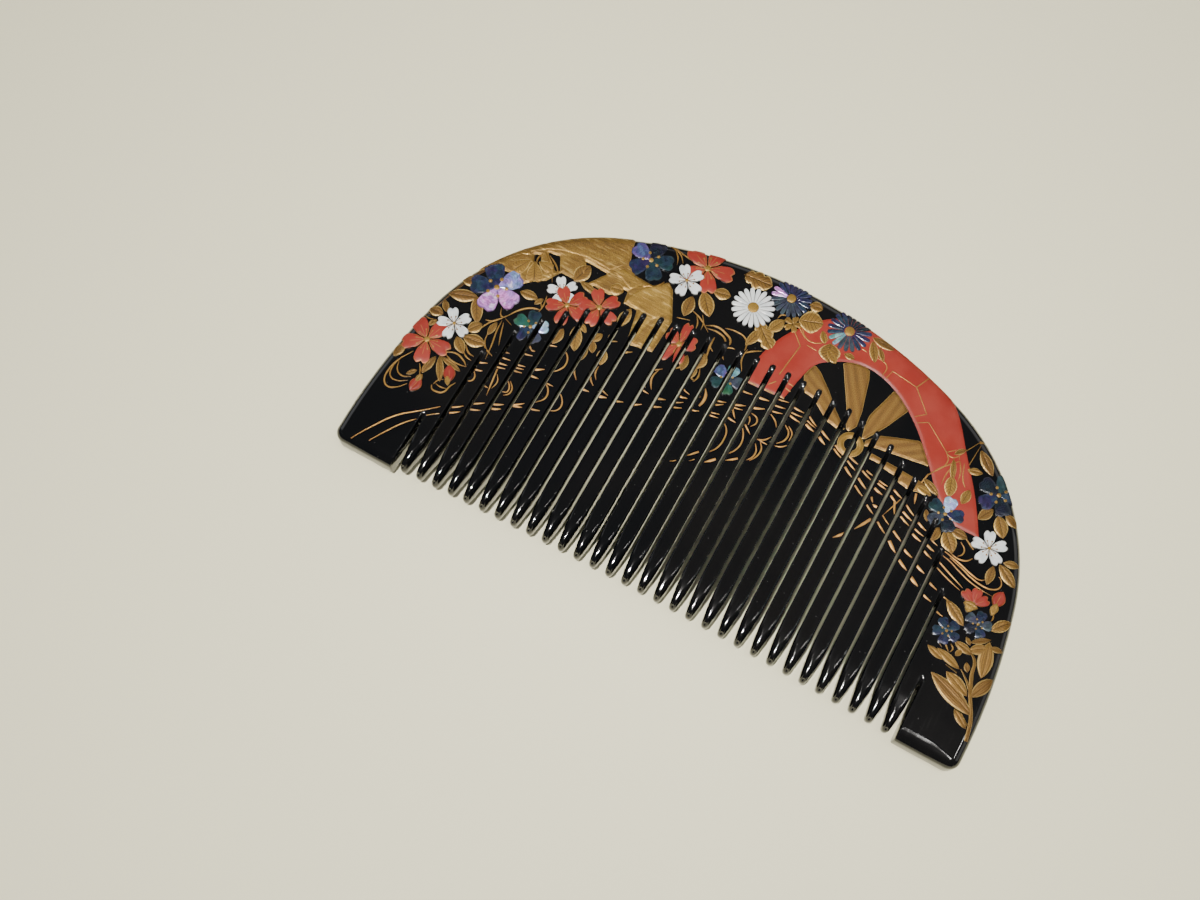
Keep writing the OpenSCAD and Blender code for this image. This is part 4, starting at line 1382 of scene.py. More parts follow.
buds = {
    # node: x, y, length, turn, width against length
    "red_bud_1": (-42.3, 12.3, 2.5, 80, 0.72),
    "red_bud_2": (-38.9, 16.1, 2.7, 120, 0.66),
    "red_bud_3": (41.3, 22.8, 3.9, 95, 1.0),
    "red_bud_4": (44.2, 24.1, 2.6, 85, 0.72),
}
halfOpenBud = "red_bud_3"
calyxes = [
    # x, y, length, width, turn
    (-42.35, 13.35, 1.5, 0.9, 75), (-38.55, 15.0, 1.5, 0.8, 125),
    (41.15, 21.45, 2.1, 1.2, 0), (41.1, 21.0, 1.2, 1.1, 90), (44.2, 22.5, 1.9, 1.1, 90),
]
for node, row in buds.items():
    makeBud(node, *row)
makePiece("bud_calyxes", [leafSheet(calyxes, leafUnit, sprinkledGold, 0.26, 0.10)], sprinkledGold, "gold")


# Hearts of the blossoms, and the threads around them
hearts = {
    # node: what the names of its blossoms have in them; one white blossom's heart is under its neighbour
    "red_cherry_hearts": ("red_cherry",),
    "shell_cherry_hearts": ("blue", "white_cherry_1", "white_cherry_3", "white_cherry_4"),
    "chrysanthemum_hearts": ("chrysanthemum",),
}
heartSize = {"shell": 0.10, "white": 0.10, "coral": 0.11, "shellRays": 0.22, "whiteRays": 0.26}


def makeHearts():
    for node, marks in hearts.items():
        discs = []
        for name, (kind, x, y, radius, turn, squash, lift, tones) in blossoms.items():
            if any(mark in name for mark in marks):
                discs.append(discSheet(x, y, radius * heartSize[kind], lift + 0.03, 0.07))
        makePiece(node + "_gold", discs, sprinkledGold, "gold", node)
    gold, brown = [], []
    for kind, x, y, radius, turn, squash, lift, tones in blossoms.values():
        if kind == "shell":
            gold.append(ringSheet(beadUnit, 5, radius, x, y, turn + 36, squash,
                                  sprinkledGold, lift + 0.03, 0.09, 0.3)[0])
        elif kind in ("white", "coral"):
            threads = brown if kind == "white" else gold
            threads.append(ringSheet(stamenUnit, 10, radius * 0.95, x, y, turn + 18, squash,
                                     sprinkledGold, lift + 0.02, 0.04, 0.6)[0])
    makePiece("blossom_threads", gold, sprinkledGold, "gold")
    makePiece("white_blossom_threads", brown, threadGold, "gold")


makeHearts()
print("hearts and threads made")


# Gold wheel at the upper left
goldWheel = {
    "low": (-49, 31), "high": (-14, 53.6), "cell": 0.22, "lift": 0.16, "edge": 0.25, "foldEdge": 0.28,
    "tone": 0.55, "heading": 75, "inset": 0.02, "margin": 0.2, "groove": 0.5,
    "brush": {"stretch": 14, "tone": 0.15, "rate": 2.1}, "petalTone": 0.85,
    "outline": (
        (-44.7, 31.1), (-49.4, 37.5), (-43.0, 47.2), (-31.8, 52.5), (-25.9, 49.6), (-25.4, 47.2),
        (-24.7, 45.0), (-23.0, 43.1), (-19.8, 42.9), (-18.0, 44.5), (-16.9, 43.7), (-14.6, 39.1),
        (-14.9, 33.4), (-16.9, 33.1), (-18.9, 32.7), (-19.2, 34.6), (-20.0, 38.2), (-22.3, 38.3),
        (-22.6, 40.2), (-23.4, 40.2), (-23.5, 39.0), (-24.9, 38.4), (-27.4, 38.6), (-28.9, 38.1),
        (-32.8, 38.1), (-34.0, 35.9), (-35.7, 34.8), (-36.7, 33.8), (-38.1, 34.5), (-40.1, 34.3),
        (-42.5, 33.5), (-44.2, 31.8)),
    "gaps": (
        ((-30.6, 41.6), (-26.6, 41.3), (-28.7, 38.2), (-29.1, 38.4), (-29.0, 39.8)),
        ((-36.1, 40.1), (-34.2, 40.4), (-33.0, 38.2), (-33.7, 37.9)),
        ((-37.8, 38.8), (-36.8, 39.2), (-35.9, 37.6), (-37.1, 37.4))),
}
wheelParts = {
    # laid over one another, each with its own lift, tone and the way its brushwork runs
    "band": (0.05, 0.62, 25, ((-44.7, 31.1), (-49.4, 37.5), (-43.0, 47.2), (-31.8, 52.5), (-25.4, 49.9),
                              (-25.6, 46.4), (-24.9, 43.6), (-26.5, 41.7), (-30.7, 41.9), (-34.1, 41.2),
                              (-36.2, 40.3), (-38.6, 38.4), (-41.2, 35.6), (-42.6, 33.4), (-44.2, 31.6))),
    "fan": (0.09, 0.95, 62, ((-22.7, 38.5), (-21.3, 41.6), (-19.9, 42.9), (-18.4, 44.5), (-16.9, 43.6),
                             (-15.5, 41.2), (-14.4, 39.0), (-15.0, 38.6), (-15.0, 33.5), (-16.8, 33.1),
                             (-17.2, 38.0), (-17.8, 33.0), (-18.9, 32.8), (-20.3, 37.4), (-21.3, 38.3))),
    "fold": (0.13, 0.80, 20, ((-24.9, 43.3), (-22.9, 43.0), (-21.4, 43.2), (-20.1, 42.7), (-21.2, 41.6),
                              (-22.4, 40.3), (-24.6, 41.3), (-26.4, 41.8))),
}
wheelPetals = [
    # gold blossom over the wheel: x, y, radius, turn
    (-37.9, 38.5, 2.7, 170), (-37.6, 37.8, 3.3, -118), (-37.1, 37.9, 3.7, -62), (-36.6, 38.0, 2.6, -5),
]
wheelLines = {
    # folds and stems brushed over the gold
    (0.3, 0.2): [
        (0.30, (-18.6, 44.2), (-19.6, 42.4), (-21.8, 39.2)),
        (0.30, (-17.9, 44.1), (-18.4, 41.2), (-19.8, 38.6)),
        (0.30, (-17.3, 43.9), (-16.6, 41.6), (-15.1, 39.3)),
        (0.25, (-17.7, 43.0), (-17.3, 40.8), (-17.2, 38.9)),
        (0.30, (-36.1, 39.9), (-34.5, 38.4), (-33.1, 36.0)),
        (0.26, (-35.5, 39.7), (-33.8, 38.6), (-32.9, 37.6)),
        (0.24, (-36.6, 39.6), (-36.9, 38.4), (-36.5, 37.3)), (0.24, (-37.7, 38.9), (-37.1, 37.7)),
        (0.22, (-14.1, 37.8), (-13.7, 36.2), (-13.6, 34.4))],
    (0.5, 0.2): [
        (0.28, (-22.0, 42.9), (-21.0, 42.1), (-20.0, 42.6), (-19.2, 41.6)),
        (0.28, (-23.8, 43.0), (-22.8, 42.2), (-22.5, 40.8))],
    (0.4, 0.2): [
        (0.35, (-29.8, 41.0), (-30.0, 40.2), (-29.6, 39.2), (-30.2, 38.0))],
    (0.9, 0.9): [
        (0.30, (-19.0, 33.1), (-17.9, 33.3), (-17.5, 33.9)),
        (0.30, (-16.6, 33.3), (-15.3, 33.6), (-14.9, 33.9))],
}
wheelLeaves = [
    # x, y, length, width, turn
    (-29.9, 39.5, 3.5, 2.4, 74), (-24.2, 39.7, 2.2, 2.0, 10), (-28.0, 37.9, 3.0, 1.1, -12),
    (-21.0, 36.2, 3.6, 1.7, 84),
]


def makeGoldWheel(w):
    outline, brush, margin = np.array(w["outline"]), w["brush"], w["margin"]

    def field(x, y):
        depth = areaDistance(outline, x, y)
        for gap in w["gaps"]:
            depth = np.minimum(depth, -areaDistance(np.array(gap), x, y))
        return depth

    def brushed(lift, tone, heading, edge):
        c, s = math.cos(math.radians(heading)), math.sin(math.radians(heading))
        return lambda x, y, depth: (
            lift * softStep(depth, edge) + 0.04, (x * c + y * s) / brush["stretch"],
            clamp(1 - depth / w["groove"]), tone + brush["tone"] * np.sin((y * c - x * s) * brush["rate"]))

    brushwork = brushed(w["lift"], w["tone"], w["heading"], w["edge"])
    base = fieldSheet(w["low"], w["high"], w["cell"], field, brushwork)
    makePiece("gold_wheel_leaf", [base], wheelGold, "gold", "gold_wheel")
    over = []
    for lift, tone, heading, points in wheelParts.values():
        part = np.array(points)

        def partField(x, y, part=part):
            return np.minimum(areaDistance(part, x, y), field(x, y) - w["inset"])

        over.append(fieldSheet(part.min(0) - margin, part.max(0) + margin, w["cell"], partField,
                               brushed(w["lift"] + lift, tone, heading, w["foldEdge"])))
    makePiece("gold_wheel_folds", over, wheelGold, "gold")
    petals = []
    for number, (x, y, radius, turn) in enumerate(wheelPetals):
        petal = ringSheet(cherryUnit, 1, radius, x, y, turn, 1.1, wheelGold,
                          0.20 + 0.012 * number, 0.07, 0.4)[0]
        petal[0][:, toneAt] = w["petalTone"]
        petals.append(petal)
    petals.append(leafSheet(wheelLeaves, leafUnit, wheelGold, 0.20, 0.10))
    makePiece("gold_wheel_blossom", petals, leafGold, "gold")
    lines = strokeSheet(wheelLines, lineGold, base=0.22, height=0.06)
    makePiece("gold_wheel_lines", [lines], stemGold, "gold")


makeGoldWheel(goldWheel)


# Second wheel: coral rim with its gold lines, spokes and hub
redWheel = {
    "low": (-1.5, 29), "high": (39, 53.6), "cell": 0.22, "lift": 0.13, "edge": 0.30, "tone": 0.75,
    "spokeCell": 0.15, "spokeLift": 0.14, "spokeEdge": 0.25, "spokeGap": 0.06, "margin": 0.2,
    "grain": {"middle": 0.5, "share": 0.25, "rate": 5, "twist": 3, "stretch": 12},
    "hubCell": 0.12, "hubLift": 0.14, "hubEdge": 0.35, "hubGap": 0.12, "hubTone": 0.6,
    "outer": ((-0.9, 35.9), (-1.0, 39.7), (0.0, 43.4), (1.7, 46.6), (4.9, 50.4), (9.8, 53.1), (16.1, 54.1),
              (22.0, 52.5), (28.0, 46.6), (31.8, 41.3), (35.5, 35.9), (38.3, 30.8)),
    "inner": ((34.6, 30.8), (30.8, 33.5), (27.9, 37.0), (24.0, 41.3), (20.0, 44.5), (16.1, 46.2),
              (13.0, 46.5),
              (10.5, 45.8), (7.1, 43.6), (5.9, 40.5), (5.1, 36.2)),
    "hub": (16.6, 34.6), "hubOuter": 2.0, "hubInner": 0.95,
    "spokes": (
        ((6.1, 41.0), (6.6, 43.3), (8.0, 42.6), (10.3, 40.6), (12.5, 38.3), (14.9, 36.3), (14.1, 35.8),
         (12.0, 36.2), (10.0, 37.6), (8.9, 38.4), (7.4, 38.6), (6.8, 39.6)),
        ((10.3, 45.4), (11.3, 46.4), (13.0, 46.7), (14.2, 46.2), (14.7, 44.9), (15.9, 40.0), (16.2, 37.5),
         (15.5, 36.3), (15.0, 36.5), (13.6, 39.6)),
        ((18.6, 45.1), (20.3, 44.9), (21.7, 43.3), (20.0, 39.6), (18.1, 36.4), (17.6, 36.2), (17.2, 38.1),
         (17.1, 40.0)),
        ((25.0, 39.9), (26.6, 39.3), (28.0, 37.1), (24.0, 36.5), (20.0, 35.9), (18.4, 35.4), (18.2, 36.2),
         (19.8, 37.9), (22.0, 38.8)),
        ((19.8, 34.9), (21.6, 34.8), (24.0, 34.7), (26.6, 34.5), (29.3, 34.3), (29.4, 33.1), (26.6, 32.5),
         (24.9, 32.8), (24.8, 33.4), (22.4, 33.6), (21.6, 34.0), (19.9, 34.0))),
}


def makeRedWheel(w):
    grain, margin = w["grain"], w["margin"]
    rim = np.vstack([throughPoints(w["outer"]), throughPoints(w["inner"])])
    hub = np.array(w["hub"])

    def rimShape(x, y, depth):
        away = np.hypot(x - hub[0], y - hub[1])
        return 0.03 + w["lift"] * softStep(depth, w["edge"]), away / 20, 0, w["tone"]

    sheet = fieldSheet(w["low"], w["high"], w["cell"], lambda x, y: areaDistance(rim, x, y), rimShape)
    makePiece("coral_wheel_rim", [sheet], coralLacquer, "coral_lacquer", "red_wheel_rim")

    spokes = []
    for points in w["spokes"]:
        part = np.array(points)
        end = part[0]
        way = (end - hub) / np.linalg.norm(end - hub)

        def spokeField(x, y, part=part):
            return np.minimum(areaDistance(part, x, y), -areaDistance(rim, x, y) - w["spokeGap"])

        def spokeShape(x, y, depth, way=way):
            u, v = x - hub[0], y - hub[1]
            along = (u * way[0] + v * way[1]) / grain["stretch"]
            wave = np.sin((u * way[1] - v * way[0]) * grain["rate"] + along * grain["twist"])
            lift = 0.04 + w["spokeLift"] * softStep(depth, w["spokeEdge"])
            return lift, along, clamp(1 - depth / 0.35), grain["middle"] + grain["share"] * wave

        spokes.append(fieldSheet(
            part.min(0) - margin, part.max(0) + margin, w["spokeCell"], spokeField, spokeShape))
    makePiece("gold_spokes", spokes, spokeGold, "gold", "wheel_spokes")

    def ringField(x, y):
        away = np.hypot(x - hub[0], y - hub[1])
        return np.minimum(w["hubOuter"] - w["hubGap"] - away, away - w["hubInner"])

    def ringShape(x, y, depth):
        lift = 0.05 + w["hubLift"] * softStep(depth, w["hubEdge"])
        return lift, 0, clamp(1 - depth / 0.4), w["hubTone"]

    around = w["hubOuter"] + 0.3
    ring = fieldSheet(hub - around, hub + around, w["hubCell"], ringField, ringShape)
    makePiece("gold_hub", [ring], sprinkledGold, "gold", "wheel_hub")


makeRedWheel(redWheel)
print("wheels made")


# Lines on the red rim, brushed in gold
rimLines = {
    # share of the width at the start, at the end: rows of width and points
    (0.8, 0.8): [
        (0.20, (11.7, 48.8), (12.5, 48.7)), (0.20, (14.0, 48.7), (16.0, 48.1), (16.1, 46.3)),
        (0.20, (16.7, 46.2), (17.1, 47.8)), (0.20, (17.1, 47.8), (21.2, 47.2)),
        (0.20, (21.2, 47.2), (24.2, 44.1)), (0.20, (24.2, 44.1), (22.8, 42.9)),
        (0.26, (21.2, 47.2), (22.3, 49.6)), (0.20, (23.5, 42.2), (25.0, 43.1)),
        (0.20, (25.0, 43.1), (29.1, 40.2)), (0.20, (29.1, 40.2), (30.2, 41.2)),
        (0.20, (29.1, 40.2), (29.8, 39.1), (28.2, 35.8)), (0.22, (1.9, 47.6), (3.7, 46.2)),
        (0.24, (1.6, 46.7), (3.6, 44.8)), (0.24, (3.6, 44.8), (2.9, 39.2)),
        (0.22, (2.5, 47.6), (3.9, 46.3), (5.6, 46.4), (6.9, 47.9)), (0.20, (4.4, 45.4), (6.0, 45.3)),
        (0.20, (4.6, 38.7), (5.5, 38.6)), (0.20, (4.6, 37.8), (5.5, 37.7)),
        (0.24, (2.2, 37.1), (3.0, 38.1)), (0.26, (-0.9, 36.1), (0.8, 36.1)),
        (0.26, (1.8, 36.2), (3.5, 36.2)), (0.26, (4.3, 36.3), (5.2, 36.3))],
    (0.5, 0.3): [
        (0.30, (31.3, 39.9), (29.3, 37.6), (28.1, 35.6)), (0.26, (31.3, 39.9), (32.0, 38.6), (32.3, 36.9)),
        (0.26, (32.0, 39.9), (32.9, 37.4), (33.6, 36.6)), (0.24, (30.9, 39.4), (30.4, 37.2), (30.4, 35.4))],
    (0.4, 0.4): [
        (0.26, (29.0, 40.1), (30.2, 39.9), (31.1, 40.8)), (0.26, (30.4, 41.5), (31.2, 40.0))],
}

# Flowing water: long raised lines, which the slots cut through
waterLines = {
    (0.6, 0.5): [
        (0.34, (-46.0, 0.8), (-45.1, 2.5), (-44.0, 4.3), (-43.0, 5.9), (-41.6, 7.5), (-40.4, 8.5),
         (-39.3, 9.4), (-37.4, 11.1)),
        (0.30, (-43.6, 1.7), (-42.1, 4.3), (-40.7, 6.4), (-39.4, 7.8))],
    (0.4, 0.5): [
        (0.34, (-38.7, 8.8), (-37.0, 10.1))],
    (0.6, 0.3): [
        (0.34, (-26.4, 27.4), (-25.5, 27.0), (-24.9, 25.6), (-25.3, 24.4), (-26.4, 23.3)),
        (0.34, (-26.2, 21.7), (-25.2, 20.9), (-24.9, 19.6), (-25.8, 18.3)),
        (0.44, (-23.8, 26.8), (-23.4, 25.4), (-22.4, 24.2))],
    (0.5, 0.4): [
        (0.30, (-23.8, 21.5), (-22.8, 20.7), (-22.3, 19.7), (-22.5, 18.8), (-23.5, 18.1)),
        (0.34, (4.7, 28.1), (5.3, 27.1), (5.2, 26.0), (4.7, 25.3)),
        (0.34, (5.2, 28.7), (5.8, 27.8), (5.7, 26.5), (5.1, 25.4)),
        (0.36, (7.2, 32.7), (8.1, 31.9), (8.1, 30.6), (7.3, 29.6)),
        (0.34, (7.7, 32.8), (8.6, 32.0), (8.7, 30.8)), (0.34, (1.7, 31.6), (2.3, 31.1), (2.5, 30.2)),
        (0.34, (2.1, 32.0), (3.1, 31.7), (3.4, 31.0), (2.9, 30.1)),
        (0.34, (4.6, 33.2), (5.6, 32.6), (6.2, 31.8)), (0.34, (4.6, 28.8), (5.6, 29.3), (6.2, 30.1))],
    (0.5, 0.3): [
        (0.30, (-31.0, 19.3), (-30.3, 18.6), (-30.2, 17.7), (-30.8, 17.4)),
        (0.30, (-30.6, 19.4), (-29.8, 18.5), (-29.8, 17.6), (-30.4, 17.0)),
        (0.40, (-21.2, 27.6), (-21.1, 26.2), (-20.6, 25.3), (-19.8, 24.6)),
        (0.36, (-20.6, 27.6), (-20.5, 26.5), (-19.9, 25.6)),
        (0.36, (-8.7, 31.4), (-8.1, 30.5), (-7.0, 30.2)),
        (0.34, (34.3, 26.9), (36.1, 26.5), (37.7, 26.1), (39.3, 25.6), (40.9, 25.4), (41.6, 25.9)),
        (0.34, (35.9, 26.3), (37.9, 25.7), (39.7, 25.1), (41.5, 24.8), (42.9, 25.0), (43.7, 25.8),
         (43.4, 26.8), (42.9, 27.1)),
        (0.26, (34.5, 26.2), (36.1, 25.8), (37.9, 25.1), (39.7, 24.5), (41.5, 24.2), (43.2, 24.1)),
        (0.30, (36.3, 29.1), (37.2, 28.3), (37.2, 27.5), (36.7, 27.0)),
        (0.34, (38.7, 27.7), (38.1, 27.0), (36.8, 26.7), (35.6, 27.0))],
    (0.4, 0.3): [
        (0.28, (-32.8, 19.4), (-32.2, 18.4), (-32.4, 17.1)),
        (0.36, (-12.3, 31.8), (-13.4, 30.8), (-13.6, 29.4), (-13.1, 28.0)),
        (0.40, (-12.7, 31.4), (-13.0, 30.0), (-12.7, 29.0), (-12.2, 28.2))],
    (0.4, 0.4): [
        (0.32, (-36.1, 18.3), (-35.5, 17.6), (-35.5, 16.8), (-36.1, 16.3))],
    (0.9, 0.3): [
        (0.50, (-8.7, 29.5), (-8.0, 29.3), (-7.0, 29.5))],
    (0.4, 0.7): [
        (0.62, (-5.4, 32.1), (-4.9, 31.2), (-4.8, 30.2), (-5.0, 29.3))],
    (0.5, 0.5): [
        (0.34, (-0.8, 28.9), (0.1, 28.0), (0.45, 26.6), (0.2, 24.9), (-0.6, 23.7)),
        (0.34, (1.8, 29.6), (2.5, 28.6), (2.9, 27.2), (2.6, 25.8), (1.9, 24.8))],
    (0.3, 0.5): [
        (0.34, (7.2, 29.2), (8.0, 29.4), (8.8, 30.1))],
    (0.8, 0.3): [
        (0.34, (34.6, 25.1), (36.5, 24.3), (39.2, 23.2)), (0.28, (34.7, 24.2), (36.8, 23.4), (39.0, 22.7))],
}

# Short strokes, one or more to a tooth, from a thick head to a point: x, y, x, y, width
toothStrokes = [
    (-35.9, 11.8, -34.5, 12.8, 0.34), (-35.8, 10.9, -34.5, 11.8, 0.36), (-33.6, 13.7, -32.1, 14.7, 0.34),
    (-33.5, 12.8, -32.1, 13.4, 0.34), (-30.9, 15.1, -29.6, 15.8, 0.42), (-30.8, 14.4, -29.6, 15.0, 0.42),
    (-28.5, 16.3, -27.1, 17.4, 0.40), (-28.5, 16.2, -27.1, 16.7, 0.36), (-25.9, 17.1, -24.6, 17.5, 0.36),
    (-28.8, 21.6, -27.2, 21.7, 0.42), (-28.8, 22.5, -27.2, 23.4, 0.50), (-28.8, 27.0, -27.4, 27.4, 0.32),
    (-26.1, 21.7, -24.8, 21.7, 0.30), (-31.4, 24.0, -29.8, 24.4, 0.30), (-31.0, 25.6, -30.3, 25.1, 0.36),
    (-30.4, 25.1, -29.8, 25.2, 0.30), (-31.7, 22.0, -29.8, 22.4, 0.32), (-31.6, 21.5, -29.8, 21.9, 0.30),
    (-31.5, 21.0, -29.8, 21.3, 0.32), (-33.9, 22.9, -32.9, 23.1, 0.34), (-33.8, 22.0, -32.2, 22.2, 0.32),
    (-33.8, 21.0, -32.2, 21.3, 0.34), (-33.8, 20.3, -32.2, 20.7, 0.34), (-33.2, 20.1, -32.5, 15.8, 0.34),
    (-33.6, 17.0, -32.9, 16.9, 0.30), (-36.4, 19.6, -34.9, 20.2, 0.34), (-36.3, 18.4, -34.9, 18.8, 0.40),
    (-21.4, 23.4, -19.9, 23.5, 0.46), (-18.8, 24.8, -17.2, 24.3, 0.30), (-18.9, 23.5, -17.2, 23.9, 0.62),
    (-16.3, 24.0, -14.8, 24.5, 0.42), (-13.8, 24.6, -12.3, 25.5, 0.44), (-13.7, 27.6, -12.2, 27.4, 0.34),
    (-11.2, 27.3, -9.6, 27.8, 0.50), (-11.2, 25.8, -9.6, 26.5, 0.44), (-8.6, 27.9, -7.2, 28.7, 0.32),
    (-8.5, 27.2, -7.0, 27.8, 0.34), (-6.0, 28.1, -4.6, 28.6, 0.34), (-6.0, 30.2, -5.4, 30.7, 0.26),
    (-3.4, 29.2, -1.8, 29.6, 0.30), (-3.3, 28.8, -1.7, 29.0, 0.32), (-3.4, 31.2, -1.8, 31.7, 0.40),
    (-3.3, 30.5, -2.0, 31.2, 0.34), (-0.9, 31.9, 0.9, 32.6, 0.44), (-0.8, 31.5, 0.8, 31.8, 0.34),
    (-0.6, 31.3, 0.4, 30.1, 0.36), (-0.8, 29.8, 0.8, 29.6, 0.38), (0.8, 23.3, -0.4, 22.1, 0.56),
    (-1.8, 23.1, -3.1, 21.7, 0.40), (-1.8, 21.8, -2.4, 21.2, 0.20), (-4.0, 20.4, -4.8, 19.8, 0.20),
    (1.8, 32.8, 3.5, 33.5, 0.50), (2.1, 30.0, 3.4, 29.0, 0.34), (3.5, 24.9, 2.1, 23.8, 0.44),
    (-0.9, 34.4, 0.9, 34.6, 0.34), (1.8, 34.7, 3.5, 34.9, 0.50), (4.4, 34.7, 6.1, 35.0, 0.34),
    (4.5, 33.7, 6.1, 34.1, 0.30), (4.4, 35.8, 6.1, 36.1, 0.30), (4.8, 28.9, 6.2, 28.8, 0.30),
    (7.0, 35.8, 8.7, 35.7, 0.38), (7.0, 34.9, 8.8, 35.0, 0.30), (7.0, 34.4, 8.8, 34.1, 0.44),
    (9.6, 35.6, 11.2, 34.7, 0.40), (9.6, 34.9, 11.2, 34.4, 0.32), (9.7, 34.3, 11.2, 33.8, 0.56),
    (12.1, 34.5, 13.8, 33.7, 0.46), (12.2, 33.5, 13.4, 32.8, 0.56), (14.8, 33.5, 16.4, 32.6, 0.44),
    (14.8, 32.9, 16.4, 32.1, 0.36), (17.3, 32.9, 19.0, 32.4, 0.40), (17.3, 32.2, 18.9, 31.4, 0.40),
    (17.4, 31.2, 19.0, 30.2, 0.46), (20.3, 32.2, 21.6, 31.9, 0.34), (19.8, 31.9, 21.5, 31.2, 0.40),
    (19.8, 30.6, 21.5, 29.6, 0.46), (19.8, 29.4, 21.5, 28.4, 0.36), (22.5, 31.7, 24.0, 31.5, 0.32),
    (22.5, 31.3, 23.9, 31.0, 0.42), (22.4, 30.4, 23.8, 30.0, 0.50), (23.9, 28.0, 23.2, 28.1, 0.60),
    (22.6, 29.0, 23.1, 28.3, 0.40), (22.5, 27.6, 23.9, 26.8, 0.36), (23.9, 26.0, 22.5, 23.6, 0.60),
    (24.9, 31.5, 26.6, 30.8, 0.42), (24.9, 30.5, 26.0, 29.9, 0.46), (25.7, 30.0, 26.6, 28.0, 0.44),
    (26.3, 30.6, 25.1, 27.3, 0.22), (25.1, 27.3, 26.6, 26.4, 0.26), (24.9, 26.1, 26.7, 24.9, 0.40),
    (27.4, 30.3, 29.1, 29.3, 0.40), (27.4, 29.2, 29.1, 28.5, 0.48), (27.4, 28.4, 29.0, 27.7, 0.40),
    (27.4, 26.0, 29.0, 25.1, 0.46), (27.5, 24.4, 29.0, 23.2, 0.66), (21.6, 22.4, 20.4, 21.0, 0.56),
    (29.9, 28.8, 31.4, 28.2, 0.46), (29.9, 27.7, 31.4, 27.3, 0.36), (29.9, 26.9, 31.4, 26.4, 0.48),
    (29.8, 24.3, 31.3, 23.7, 0.50), (29.8, 22.6, 31.4, 21.7, 0.56), (32.1, 27.6, 33.7, 27.0, 0.30),
    (32.2, 26.5, 33.6, 26.0, 0.50), (32.2, 25.5, 33.7, 24.9, 0.44), (32.2, 23.1, 33.7, 22.5, 0.54),
    (32.2, 21.2, 33.7, 20.4, 0.70), (34.6, 21.8, 36.2, 21.2, 0.42), (34.6, 19.8, 36.2, 19.3, 0.44),
    (37.0, 20.9, 38.4, 20.6, 0.30), (37.0, 18.6, 38.4, 18.2, 0.34), (27.9, 32.5, 28.3, 31.0, 0.44),
    (28.2, 36.0, 27.7, 33.6, 0.34),
]

